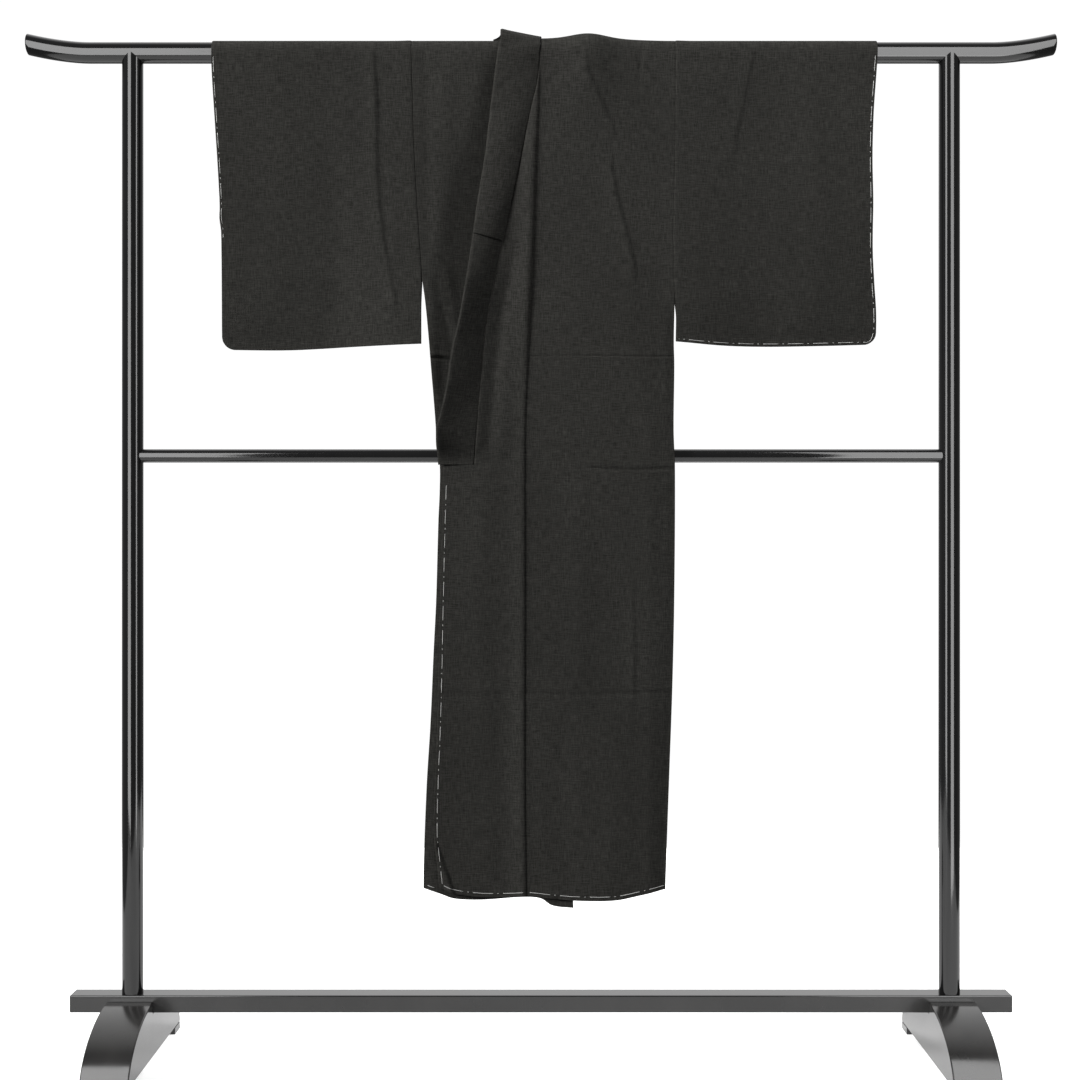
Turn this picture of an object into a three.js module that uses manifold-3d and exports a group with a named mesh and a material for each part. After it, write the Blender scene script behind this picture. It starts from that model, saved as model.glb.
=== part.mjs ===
// A man's kimono hanging, wrapped left over right, on a lacquered kimono rack.
// Millimetres. +X is the wearer's left, -Y the front, +Z up; the origin is on the floor.
import * as THREE from "three";
import { mergeVertices } from "three/addons/utils/BufferGeometryUtils.js";
import Module from "manifold-3d";

const wasm = await Module();
wasm.setup();

// ---------------------------------------------------------------- driving dimensions

const RACK = {
  barRadius: 17.75,
  barLength: 1744,
  barHeight: 1713, // centre of the top bar
  tipRun: 105, // length of each upturned end
  tipRise: 14.5,
  postSpacing: 1388,
  postRadius: 17.75,
  lowerBarRadius: 11.5,
  lowerBarHeight: 1028,
  beamLength: 1592,
  beamDepth: 38,
  beamHeight: 29,
  beamBottom: 87,
  beamBevel: 2,
  footWidth: 79,
  footHalfLength: 178,
  footHeight: 106,
  padHeight: 12,
  padLength: 38,
  padInset: 4, // from the tip of the foot to its pad
};

const FIT = 0.3; // gap between neighbouring solids
const SEAM_RUN = 0.6; // gap along the armhole, where the two edges have different rows
const WALL = 1.6; // cloth wall
const COLLAR_WALL = 1.6;
const UNDER_COLLAR_WALL = 2.4; // band and over-collar in one where they are hidden
const OVER_COLLAR_WALL = 1.4;
const REST_GAP = 0.5; // cloth above the bar that carries it
const LAYER = 2.2; // pitch of the layers in the back pleat
const UPPER_FRONT = 3.8; // the upper front lies this far outside the under front
const ROLL = RACK.barRadius + REST_GAP; // inner radius of the cloth over the bar

const NECK = {
  point: -0.7, // X where both neck points meet
  seamDrop: 25, // back neckline below the centre of the bar
  centreBack: -88, // X of the centre back seam, on the fold of the back pleat
  kensaki: 1700, // height of the top point of the overlap panels
  collarEnd: 1011, // height where the collar ends on the overlap panel
  overCollarEnd: 1399, // height of the over-collar's end seam at the free edge
  overCollarSlant: 12, // how much lower that seam is at the collar seam
};
const SIDE_TURN = 16; // width over which a side seam turns in
const NECKLINE = RACK.barHeight - NECK.seamDrop;

const SLEEVES = {
  bottom: 1214, // height of the lower edge halfway along it
  left: { armholeEnd: 1294, cuffEnd: 1455, cornerRadius: 20 },
  right: { armholeEnd: 1331, cuffEnd: 1433, cornerRadius: 22 },
};

// Half the hollow depth of the hanging cloth: inner face of the front and of the back.
const HANG = [
  { z: 1713, front: 18.25, back: 18.25 },
  { z: 1600, front: 18.7, back: 13.4 },
  { z: 1400, front: 20.2, back: 3.4 },
  { z: 1200, front: 22.8, back: -7.2 },
  { z: 1090, front: 25.6, back: -14.4 },
  { z: 1028, front: 27.2, back: -18.0 },
  { z: 900, front: 28.4, back: -18.2 },
  { z: 600, front: 29.0, back: -18.2 },
  { z: 260, front: 29.0, back: -18.0 },
];

// Outline curves. Each row is a height and the X of the edge there.
const LEFT_SIDE = [
  { z: 1732, x: 228.2 }, { z: 1535, x: 226.5 }, { z: 1407, x: 223.6 }, { z: 1294, x: 225.2 },
  { z: 1217, x: 224.0 }, { z: 1180, x: 224.8 }, { z: 1070, x: 223.3 }, { z: 1003, x: 225.4 },
  { z: 784, x: 224.0 }, { z: 632, x: 220.6 }, { z: 509, x: 216.3 }, { z: 407, x: 212.7 },
  { z: 260, x: 207.8 },
];
const RIGHT_SIDE = [
  { z: 1732, x: -220.5 }, { z: 1558, x: -215.4 }, { z: 1489, x: -212.1 }, { z: 1331, x: -201.1 },
  { z: 1289, x: -195.6 }, { z: 1225, x: -189.4 }, { z: 1180, x: -185.8 }, { z: 1127, x: -181.2 },
  { z: 1077, x: -177.4 }, { z: 1040, x: -176.2 }, { z: 1015, x: -170.6 }, { z: 964, x: -170.6 },
  { z: 919, x: -172.6 }, { z: 784, x: -176.4 }, { z: 698, x: -180.6 }, { z: 579, x: -185.8 },
  { z: 474, x: -192.2 }, { z: 338, x: -197.2 }, { z: 260, x: -197.6 },
];
const OKUMI_SEAM = [
  { z: 1732, x: -0.7 }, { z: 1695, x: -1.8 }, { z: 1615, x: -3.9 }, { z: 1534, x: -7.6 },
  { z: 1405, x: -11.8 }, { z: 1255, x: -18.5 }, { z: 1127, x: -24.6 }, { z: 1063, x: -26.4 },
  { z: 784, x: -26.4 }, { z: 475, x: -26.6 }, { z: 260, x: -24.0 },
];
const COLLAR_SEAM = [
  { z: 1732, x: -0.7 }, { z: 1658, x: -6.4 }, { z: 1618, x: -16.0 }, { z: 1574, x: -25.6 },
  { z: 1509, x: -38.4 }, { z: 1421, x: -57.2 }, { z: 1341, x: -74.0 }, { z: 1255, x: -91.5 },
  { z: 1204, x: -97.5 }, { z: 1144, x: -102.6 }, { z: 1086, x: -107.6 }, { z: 1011, x: -113.0 },
];
const COLLAR_EDGE = [
  { z: 1732, x: -68.0 }, { z: 1710, x: -72.4 }, { z: 1630, x: -82.6 }, { z: 1533, x: -94.0 },
  { z: 1453, x: -106.8 }, { z: 1405, x: -113.0 }, { z: 1325, x: -124.3 }, { z: 1254, x: -136.4 },
  { z: 1201, x: -148.6 }, { z: 1144, x: -156.8 }, { z: 1095, x: -167.4 }, { z: 1070, x: -174.0 },
  { z: 1011, x: -172.6 },
];
const OKUMI_EDGE = [
  { z: 1011, x: -163.4 }, { z: 964, x: -164.9 }, { z: 870, x: -167.4 }, { z: 767, x: -169.8 },
  { z: 646, x: -172.2 }, { z: 544, x: -175.3 }, { z: 475, x: -178.2 }, { z: 389, x: -179.6 },
  { z: 339, x: -174.4 }, { z: 300, x: -170.4 },
];
const UNDER_SEAM = [
  { z: 1732, x: -1.2 }, { z: 1645, x: 1.4 }, { z: 1400, x: 11 }, { z: 1000, x: 28 },
  { z: 600, x: 42 }, { z: 260, x: 54.7 },
];
const UNDER_EDGE = [{ z: 1011, x: 162 }, { z: 600, x: 168 }, { z: 260, x: 172 }];
const UNDER_REACH = [{ z: 1011, x: 172 }, { z: 600, x: 173.1 }, { z: 260, x: 174 }];
const LEFT_CUFF = [
  { z: 1735, x: 569.4 }, { z: 1686, x: 567.2 }, { z: 1608, x: 562.2 }, { z: 1531, x: 560.6 },
  { z: 1458, x: 562.4 }, { z: 1375, x: 562.2 }, { z: 1318, x: 565.2 }, { z: 1267, x: 568.6 },
  { z: 1205, x: 568.4 },
];
const RIGHT_CUFF = [
  { z: 1735, x: -556.4 }, { z: 1686, x: -556.4 }, { z: 1590, x: -551.0 }, { z: 1512, x: -546.4 },
  { z: 1453, x: -543.8 }, { z: 1433, x: -544.4 }, { z: 1410, x: -541.8 }, { z: 1205, x: -541.4 },
];

// Lower edges. Each row is an X and the height of the edge there.
const LEFT_SLEEVE_BOTTOM = [
  { x: 226, z: 1220 }, { x: 305, z: 1214 }, { x: 383, z: 1213 }, { x: 480, z: 1214.5 },
  { x: 570, z: 1217 },
];
const RIGHT_SLEEVE_BOTTOM = [
  { x: -550, z: 1208 }, { x: -431, z: 1207 }, { x: -324, z: 1212 }, { x: -201, z: 1216 },
];
const UPPER_HEM = [
  { x: -171, z: 302 }, { x: -146, z: 291 }, { x: -101, z: 285 }, { x: -52, z: 285 },
  { x: -25, z: 287 }, { x: 18, z: 283 }, { x: 55, z: 280 }, { x: 123, z: 280 },
  { x: 166, z: 288 }, { x: 209, z: 298 },
];
const UNDER_HEM = [
  { x: -198, z: 300 }, { x: -169, z: 290 }, { x: -146, z: 282 }, { x: -100, z: 280 },
  { x: -31, z: 285 }, { x: 0, z: 283 }, { x: 18, z: 271.5 }, { x: 55, z: 267 },
];
const UNDER_OKUMI_HEM = [{ x: 54, z: 292 }, { x: 110, z: 297 }, { x: 175, z: 306 }];
const BACK_HEM = [
  { x: -198, z: 300 }, { x: -90, z: 292 }, { x: 30, z: 290 }, { x: 130, z: 293 }, { x: 209, z: 298 },
];

// ---------------------------------------------------------------- small helpers

const mix = (a, b, t) => a + (b - a) * t;

function ramp(from, to, value) {
  const t = Math.min(1, Math.max(0, (value - from) / (to - from)));
  return t * t * (3 - 2 * t);
}

const bell = (t) => Math.exp(-t * t);

// A smooth curve through table rows: cubic pieces with the slopes of the neighbouring rows.
function curve(rows, key, out) {
  const sorted = [...rows].sort((a, b) => a[key] - b[key]);
  const slope = (i) => {
    const low = sorted[Math.max(0, i - 1)];
    const high = sorted[Math.min(sorted.length - 1, i + 1)];
    return (high[out] - low[out]) / (high[key] - low[key]);
  };
  return (value) => {
    const last = sorted.length - 1;
    if (value <= sorted[0][key]) return sorted[0][out];
    if (value >= sorted[last][key]) return sorted[last][out];
    let i = 0;
    while (sorted[i + 1][key] < value) i += 1;
    const span = sorted[i + 1][key] - sorted[i][key];
    const t = (value - sorted[i][key]) / span;
    const a = sorted[i][out];
    const b = sorted[i + 1][out];
    const bulge = span * t * (1 - t) * (slope(i) * (1 - t) - slope(i + 1) * t);
    return a * (1 + 2 * t) * (1 - t) ** 2 + b * t * t * (3 - 2 * t) + bulge;
  };
}

const edge = (rows) => curve(rows, "z", "x");
const hem = (rows) => curve(rows, "x", "z");

const frontDepth = curve(HANG, "z", "front");
const backDepth = curve(HANG, "z", "back");
const leftSide = edge(LEFT_SIDE);
const rightSide = edge(RIGHT_SIDE);
const okumiSeam = edge(OKUMI_SEAM);
const collarSeam = edge(COLLAR_SEAM);
const collarEdge = edge(COLLAR_EDGE);
const okumiEdge = edge(OKUMI_EDGE);
const underSeam = edge(UNDER_SEAM);
const underEdge = edge(UNDER_EDGE);
const upperHem = hem(UPPER_HEM);
const underHem = hem(UNDER_HEM);
const underOkumiHem = hem(UNDER_OKUMI_HEM);
const backHem = hem(BACK_HEM);

// The under front mirrors the upper one about the neck point.
const mirrored = (x) => 2 * NECK.point - x;
const underCollarSeam = (z) => mirrored(collarSeam(z));
const underCollarEdge = (z) => mirrored(collarEdge(z));
const underHang = edge(UNDER_REACH);
const underReach = (z) => (z > NECK.collarEnd ? underCollarEdge(z) : underHang(z));

// ---------------------------------------------------------------- how the cloth hangs

// Slow waves that all layers of the front, or of the back, share.
function frontWave(x, z) {
  const low = ramp(1250, 700, z);
  return low * (1.5 * Math.sin(x / 46 + z / 390) + 1.0 * Math.sin(x / 83 - z / 240 + 1.3));
}

function backWave(x, z) {
  const low = ramp(980, 500, z);
  return low * Math.sin(x / 58 + z / 310 + 0.6);
}

// The left shoulder is lifted by the under collar that lies beneath it.
const shoulderLift = (x) => 8.5 * bell((x - 80) / 40);

// How far the left panel lies outside the innermost layer of the front.
function upperLevel(x, z) {
  const reach = underReach(z);
  const over = 1 - ramp(reach + 4, leftSide(z) - 3, x);
  return UPPER_FRONT * over + shoulderLift(x) * ramp(1560, RACK.barHeight, z);
}

// Below the armhole the front and back of a body panel close on each other at its side seam.
// side is 1 for the left panel, -1 for the right one and 0 for a piece with no side seam.
function sideClosing(x, z, side) {
  if (side === 0) return 0;
  const gap = side > 0 ? leftSide(z) - x : x - rightSide(z);
  const { armholeEnd } = side > 0 ? SLEEVES.left : SLEEVES.right;
  return (1 - ramp(0, SIDE_TURN, gap)) * ramp(armholeEnd, armholeEnd - 60, z);
}

// Points of the hanging cloth; level is how far outside the innermost layer the point lies.
function frontPoint(x, z, level, side = 0) {
  const depth = frontDepth(z) + frontWave(x, z);
  const meet = (depth - backDepth(z) - backWave(x, z)) / 2 + FIT / 2;
  const inner = mix(depth, meet, sideClosing(x, z, side));
  return [x, -(inner + level), z];
}

function backPoint(x, z, level, side = 0) {
  const depth = backDepth(z) + backWave(x, z);
  const meet = (depth - frontDepth(z) - frontWave(x, z)) / 2 + FIT / 2;
  const inner = mix(depth, meet, sideClosing(x, z, side));
  return [x, inner + level, z];
}

function overPoint(x, angle, level) {
  const radius = ROLL + level;
  return [x, -radius * Math.cos(angle), RACK.barHeight + radius * Math.sin(angle)];
}

// ---------------------------------------------------------------- walls from grids of points

// Six times the enclosed volume; it is negative where the faces point inwards.
function signedVolume(positions, index) {
  const corner = (i) => new THREE.Vector3().fromArray(positions, 3 * index[i]);
  let total = 0;
  for (let i = 0; i < index.length; i += 3) total += corner(i).dot(corner(i + 1).cross(corner(i + 2)));
  return total;
}

// point(row, column) gives the inner and outer point of the wall. keep(row, column) says
// whether the cell between a row and column and the next ones is cloth.
function wall(rows, columns, point, keep = () => true) {
  const cells = [];
  const filled = (i, j) => i >= 0 && j >= 0 && i < rows - 1 && j < columns - 1 && keep(i, j);
  const positions = [];
  const index = [];
  const seen = new Map();
  const vertex = (i, j, side) => {
    const key = `${i},${j},${side}`;
    if (!seen.has(key)) {
      seen.set(key, positions.length / 3);
      positions.push(...point(i, j)[side]);
    }
    return seen.get(key);
  };
  const quad = (a, b, c, d) => index.push(a, b, c, a, c, d);
  for (let i = 0; i < rows - 1; i += 1) {
    for (let j = 0; j < columns - 1; j += 1) {
      if (filled(i, j)) cells.push([i, j]);
    }
  }
  for (const [i, j] of cells) {
    const corners = [[i, j], [i, j + 1], [i + 1, j + 1], [i + 1, j]];
    const outer = corners.map(([r, c]) => vertex(r, c, "outer"));
    const inner = corners.map(([r, c]) => vertex(r, c, "inner"));
    quad(outer[0], outer[1], outer[2], outer[3]);
    quad(inner[0], inner[3], inner[2], inner[1]);
    if (!filled(i - 1, j)) quad(inner[0], inner[1], outer[1], outer[0]);
    if (!filled(i, j + 1)) quad(inner[1], inner[2], outer[2], outer[1]);
    if (!filled(i + 1, j)) quad(inner[2], inner[3], outer[3], outer[2]);
    if (!filled(i, j - 1)) quad(inner[3], inner[0], outer[0], outer[3]);
  }
  const geometry = new THREE.BufferGeometry();
  geometry.setAttribute("position", new THREE.Float32BufferAttribute(positions, 3));
  geometry.setIndex(signedVolume(positions, index) < 0 ? index.reverse() : index);
  return geometry;
}

const steps = (count, from = 0, to = 1) => (
  Array.from({ length: count + 1 }, (_, i) => mix(from, to, i / count))
);

// The rows of a strip that runs from its front hem over the bar to its back hem.
const OVER_STEPS = 8;
function dropRows(frontShares, backShares) {
  const front = frontShares.map((share) => ({ part: "front", share }));
  const over = steps(OVER_STEPS, 0, Math.PI).slice(1, -1).map((angle) => ({ part: "over", angle }));
  const back = backShares.map((share) => ({ part: "back", share })).reverse();
  return [...front, ...over, ...back];
}

// A point of such a strip.
function stripPoint(row, x, z, level, side) {
  if (row.part === "over") return overPoint(x, row.angle, level);
  return row.part === "front" ? frontPoint(x, z, level, side) : backPoint(x, z, level, side);
}

// ---------------------------------------------------------------- body panels

const BACK_LENGTH = RACK.barHeight - 292;
const NECK_SHARE = 1 - NECK.seamDrop / BACK_LENGTH;
const BODY_ROWS = dropRows(
  [
    0, 0.02, 0.05, 0.1, 0.18, 0.27, 0.36, 0.43, 0.48, 0.52,
    0.56, 0.61, 0.66, 0.7, 0.74, 0.79, 0.85, 0.9, 0.95, 1,
  ],
  [
    0, 0.05, 0.15, 0.27, 0.4, 0.48, 0.52, 0.6, 0.66, 0.7,
    0.74, 0.78, 0.83, 0.9, 0.94, NECK_SHARE, 1,
  ],
);
const NECK_ROW = BODY_ROWS.length - BODY_ROWS.filter((row) => row.part === "back").length + 1;

// Finds the X and height of a point: placeX(z) is where it lies across the panel at a height,
// and share says how far it is from the lower edge, low(x), to the top.
function settle(share, low, top, placeX) {
  let z = mix(low(placeX(low(0))), top, share);
  for (let turn = 0; turn < 6; turn += 1) z = mix(low(placeX(z)), top, share);
  return { x: placeX(z), z };
}

const shareOf = (row) => (row.part === "over" ? 1 : row.share);

// body_left: columns 0 to PLEAT_COLUMNS run across the pleat and only exist below the neckline.
const LEFT_ACROSS = [0, 0.05, 0.12, 0.22, 0.34, 0.46, 0.6, 0.74, 0.86, 0.93, 0.97, 1];
const PLEAT_COLUMNS = 4;

function bodyLeft() {
  const columns = PLEAT_COLUMNS + LEFT_ACROSS.length;
  const point = (i, j) => {
    const row = BODY_ROWS[i];
    const low = row.part === "back" ? backHem : upperHem;
    const { x, z } = settle(shareOf(row), low, RACK.barHeight, (height) => {
      const start = row.part === "front" ? okumiSeam(height) + FIT : NECK.point + FIT;
      if (j < PLEAT_COLUMNS) return mix(NECK.centreBack, start, j / PLEAT_COLUMNS);
      return mix(start, leftSide(height), LEFT_ACROSS[j - PLEAT_COLUMNS]);
    });
    let level = upperLevel(x, z);
    if (row.part === "back") {
      const pleat = 2 * LAYER * (1 - ramp(2, 34, x));
      const shoulder = upperLevel(x, RACK.barHeight) * ramp(1560, 1690, z);
      level = Math.max(pleat, shoulder);
    }
    return { inner: stripPoint(row, x, z, level, 1), outer: stripPoint(row, x, z, level + WALL, 1) };
  };
  const keep = (i, j) => j >= PLEAT_COLUMNS || i >= NECK_ROW;
  return wall(BODY_ROWS.length, columns, point, keep);
}

// body_right: main columns, then the turn and the return layer of the pleat below the neckline.
const RIGHT_ACROSS = [0, 0.03, 0.07, 0.13, 0.2, 0.28, 0.36, 0.44, 0.52, 0.6, 0.7, 0.85, 1];
const TURN_STEPS = 4;
const RETURN_STEPS = 3;

function bodyRight() {
  const columns = RIGHT_ACROSS.length + TURN_STEPS + RETURN_STEPS;
  const foldX = NECK.point - FIT - LAYER;
  const turnRadius = LAYER / 2;
  const point = (i, j) => {
    const row = BODY_ROWS[i];
    const low = row.part === "back" ? backHem : underHem;
    const at = (placeX) => settle(shareOf(row), low, RACK.barHeight, placeX);
    const place = (x, z, level) => stripPoint(row, x, z, level, -1);
    if (j < RIGHT_ACROSS.length) {
      const end = (height) => (row.part === "front" ? underSeam(height) : foldX);
      const { x, z } = at((height) => mix(rightSide(height), end(height), RIGHT_ACROSS[j]));
      return { inner: place(x, z, 0), outer: place(x, z, WALL) };
    }
    const turn = j - RIGHT_ACROSS.length + 1;
    if (turn <= TURN_STEPS) {
      const angle = (Math.PI * turn) / TURN_STEPS;
      const centre = (WALL + LAYER) / 2;
      const bent = (radius) => {
        const { x, z } = at(() => foldX + radius * Math.sin(angle));
        return place(x, z, centre - radius * Math.cos(angle));
      };
      return { inner: bent(turnRadius + WALL / 2), outer: bent(turnRadius - WALL / 2) };
    }
    const { x, z } = at(() => mix(foldX, NECK.centreBack, (turn - TURN_STEPS) / RETURN_STEPS));
    return { inner: place(x, z, LAYER + WALL), outer: place(x, z, LAYER) };
  };
  const keep = (i, j) => j < RIGHT_ACROSS.length - 1 || i >= NECK_ROW;
  return wall(BODY_ROWS.length, columns, point, keep);
}

// ---------------------------------------------------------------- overlap panels

const OKUMI_ACROSS = [0, 0.08, 0.2, 0.4, 0.6, 0.74, 0.84, 0.92, 1];
const STEP_COLUMNS = 3;
const BELOW_COLLAR = [0, 0.03, 0.08, 0.18, 0.32, 0.5, 0.68, 0.82, 0.92, 1];
const BESIDE_COLLAR = [0.06, 0.14, 0.24, 0.34, 0.45, 0.56, 0.67, 0.77, 0.84, 0.89, 0.93, 0.965, 1];

// An overlap panel has a free edge below the end of the collar and is cut back to the collar's
// seam above it, so its first columns only exist in the lower rows.
function okumi(lowEdge, seam, collarLine, low, levelAt) {
  const rows = [
    ...BELOW_COLLAR.map((share) => ({ share, from: low, top: NECK.collarEnd })),
    ...BESIDE_COLLAR.map((share) => ({ share, from: () => NECK.collarEnd, top: NECK.kensaki })),
  ];
  const cut = collarLine(NECK.collarEnd);
  const border = (height) => (height > NECK.collarEnd ? collarLine(height) : cut);
  const point = (i, j) => {
    const placeX = (height) => {
      if (j < STEP_COLUMNS) return mix(lowEdge(height), cut, j / STEP_COLUMNS);
      return mix(border(height), seam(height), OKUMI_ACROSS[j - STEP_COLUMNS]);
    };
    const { x, z } = settle(rows[i].share, rows[i].from, rows[i].top, placeX);
    const level = levelAt(x, z);
    return { inner: frontPoint(x, z, level), outer: frontPoint(x, z, level + WALL) };
  };
  const keep = (i, j) => j >= STEP_COLUMNS || i < BELOW_COLLAR.length - 1;
  return wall(rows.length, STEP_COLUMNS + OKUMI_ACROSS.length, point, keep);
}

// Soft rolls of the upper overlap panel: one beside its seam and one beside the collar.
function okumiRoll(x, z) {
  const beside = bell((x - okumiSeam(z) + 16) / 9);
  const besideSeam = 4.5 * ramp(1100, 1300, z) * ramp(1660, 1500, z) * beside;
  const fromCollar = x - collarSeam(z);
  const rise = ramp(0, 16, fromCollar) * ramp(56, 14, fromCollar);
  return besideSeam + 5 * ramp(1012, 1060, z) * ramp(1420, 1250, z) * rise;
}

const okumiLeft = () => okumi(
  okumiEdge,
  (z) => okumiSeam(z) - FIT,
  (z) => collarSeam(z) + FIT,
  upperHem,
  (x, z) => upperLevel(x, z) + okumiRoll(x, z),
);

const okumiRight = () => okumi(
  underEdge,
  (z) => underSeam(z) + FIT,
  (z) => underCollarSeam(z) - FIT,
  underOkumiHem,
  () => 0,
);

// ---------------------------------------------------------------- collar

// The band over the bar and round to the centre back: each row gives the seam point and the
// free edge point, in order.
const NECK_BAND = [
  { seamX: -2, seamY: 2, seamZ: 1737.5, edgeX: -67.5, edgeY: 0, edgeZ: 1750.5 },
  { seamX: -3, seamY: 15, seamZ: 1733, edgeX: -68, edgeY: 9, edgeZ: 1751 },
  { seamX: -6, seamY: 24, seamZ: 1718, edgeX: -69, edgeY: 16, edgeZ: 1750 },
  { seamX: -18, seamY: 27.5, seamZ: 1703, edgeX: -71, edgeY: 20.5, edgeZ: 1748.5 },
  { seamX: -46, seamY: 28, seamZ: 1694, edgeX: -75, edgeY: 24.5, edgeZ: 1746.5 },
  { seamX: -84, seamY: 28, seamZ: 1692, edgeX: -82, edgeY: 27, edgeZ: 1744 },
];
const BAND_ACROSS = steps(5);
const FRONT_BAND = [
  FIT / (RACK.barHeight - NECK.collarEnd), 0.04, 0.1, 0.18, 0.26, 0.34, 0.42, 0.5,
  0.57, 0.64, 0.7, 0.76, 0.81, 0.85, 0.88, 0.91, 0.94, 0.97, 1,
];
const BAND_OVER = [0.25, 0.5, 0.75].map((share) => (share * Math.PI) / 2);

// How far the free edge of the upper collar stands off the under front.
const standOff = (z) => 3 + 8 * ramp(1015, 1130, z);

function bandRows() {
  const front = FRONT_BAND.map((share) => ({ z: mix(NECK.collarEnd, RACK.barHeight, share) }));
  const over = BAND_OVER.map((angle) => ({ angle }));
  return [...front, ...over, ...NECK_BAND];
}

// A point of the upper collar band: across is 0 at the free edge and 1 at the seam.
function bandPoint(row, across, lift) {
  if (row.z !== undefined) {
    const x = mix(collarEdge(row.z), collarSeam(row.z) - FIT, across);
    const stand = standOff(row.z) * (1 - across) ** 1.4;
    return frontPoint(x, row.z, UPPER_FRONT + stand + lift);
  }
  if (row.angle !== undefined) {
    const x = mix(collarEdge(RACK.barHeight + 19), NECK.point - FIT, across);
    const stand = mix(standOff(RACK.barHeight), 16, row.angle / (Math.PI / 2)) * (1 - across) ** 1.4;
    return overPoint(x, row.angle, UPPER_FRONT + stand + lift);
  }
  const seam = new THREE.Vector3(row.seamX, row.seamY, row.seamZ);
  const free = new THREE.Vector3(row.edgeX, row.edgeY, row.edgeZ);
  const along = free.clone().lerp(seam, across);
  const outward = new THREE.Vector3(0, row.seamY, Math.max(0, row.seamZ - RACK.barHeight)).normalize();
  return along.addScaledVector(outward, lift).toArray();
}

function collarLeft() {
  const rows = bandRows();
  const point = (i, j) => ({
    inner: bandPoint(rows[i], BAND_ACROSS[j], 0),
    outer: bandPoint(rows[i], BAND_ACROSS[j], COLLAR_WALL),
  });
  return wall(rows.length, BAND_ACROSS.length, point);
}

// The over-collar is made from the band's own points, moved out.
function overCollar() {
  const start = bandRows().findIndex((row) => row.z > NECK.overCollarEnd);
  const rows = [{ z: NECK.overCollarEnd, slant: NECK.overCollarSlant }, ...bandRows().slice(start)];
  const point = (i, j) => {
    const row = { ...rows[i] };
    if (row.slant) row.z -= row.slant * BAND_ACROSS[j];
    const under = COLLAR_WALL + FIT;
    return {
      inner: bandPoint(row, BAND_ACROSS[j], under),
      outer: bandPoint(row, BAND_ACROSS[j], under + OVER_COLLAR_WALL),
    };
  };
  return wall(rows.length, BAND_ACROSS.length, point);
}

// The under collar runs up beneath the left front and over the bar, flat on the bar's curve.
function collarRight() {
  const height = (share) => mix(NECK.collarEnd, RACK.barHeight, share);
  const heights = FRONT_BAND.map((share) => ({ part: "front", z: height(share) }));
  const over = steps(OVER_STEPS, 0, Math.PI).slice(1, -1).map((angle) => ({ part: "over", angle }));
  const back = [{ part: "back", z: RACK.barHeight }, { part: "back", z: NECKLINE + 3 }];
  const rows = [...heights, ...over, ...back];
  const point = (i, j) => {
    const row = rows[i];
    const z = row.z ?? RACK.barHeight;
    const x = mix(underCollarSeam(z) + FIT, underCollarEdge(z), BAND_ACROSS[j]);
    const lift = shoulderLift(x) * ramp(1560, RACK.barHeight, z);
    const place = (level) => {
      if (row.part === "over") return overPoint(x, row.angle, level);
      return row.part === "front" ? frontPoint(x, z, level) : backPoint(x, z, level);
    };
    return { inner: place(lift), outer: place(lift + UNDER_COLLAR_WALL) };
  };
  return wall(rows.length, BAND_ACROSS.length, point);
}

// ---------------------------------------------------------------- sleeves

const SLEEVE_ROWS = dropRows(
  [0, 0.015, 0.045, 0.1, 0.16, 0.22, 0.29, 0.38, 0.47, 0.58, 0.72, 0.86, 1],
  [0, 0.015, 0.045, 0.1, 0.16, 0.22, 0.29, 0.38, 0.47, 0.58, 0.72, 0.86, 1],
);
const SLEEVE_ACROSS = [0, 0.03, 0.08, 0.16, 0.28, 0.42, 0.56, 0.7, 0.83, 0.92, 0.97, 1];
const ARMHOLE_BLEND = 170; // over this width the sleeve leaves the hang of the body

function sleeve(side, innerEdge, cuff, bottom, ends) {
  const point = (i, j) => {
    const row = SLEEVE_ROWS[i];
    const share = row.part === "over" ? 1 : row.share;
    const middle = mix(SLEEVES.bottom, RACK.barHeight, share);
    const free = Math.max(0, ends.cornerRadius - (middle - SLEEVES.bottom));
    const inset = ends.cornerRadius - Math.sqrt(ends.cornerRadius ** 2 - free ** 2);
    const start = innerEdge(middle);
    const end = cuff(middle) - side * inset;
    const x = mix(start, end, SLEEVE_ACROSS[j]);
    const z = mix(bottom(x), RACK.barHeight, share);
    if (row.part === "over") {
      return { inner: overPoint(x, row.angle, 0), outer: overPoint(x, row.angle, WALL) };
    }
    const fromArmhole = Math.abs(x - start);
    const fromCuff = Math.abs(end - x);
    const near = 1 - ramp(0, ARMHOLE_BLEND, fromArmhole);
    const bodyHalf = (frontDepth(z) + backDepth(z)) / 2;
    const bodyMiddle = (backDepth(z) - frontDepth(z)) / 2;
    const bagHalf = ROLL * share ** 0.9;
    const closing = Math.max(
      (1 - ramp(0, 26, fromArmhole)) * ramp(ends.armholeEnd, ends.armholeEnd - 50, z),
      (1 - ramp(0, 26, fromCuff)) * ramp(ends.cuffEnd, ends.cuffEnd - 45, z),
    );
    const sewn = ramp(0, 0.08, share);
    const half = mix(bagHalf, bodyHalf, near * ramp(0, 0.2, share)) * (1 - closing) * sewn + FIT / 2;
    const centre = bodyMiddle * near * ramp(0, 0.25, share) + mix(-3, 0, share) * (1 - near);
    const facing = row.part === "front" ? -1 : 1;
    const place = (lift) => [x, centre + facing * (half + lift), z];
    return { inner: place(0), outer: place(WALL) };
  };
  return wall(SLEEVE_ROWS.length, SLEEVE_ACROSS.length, point);
}

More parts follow.
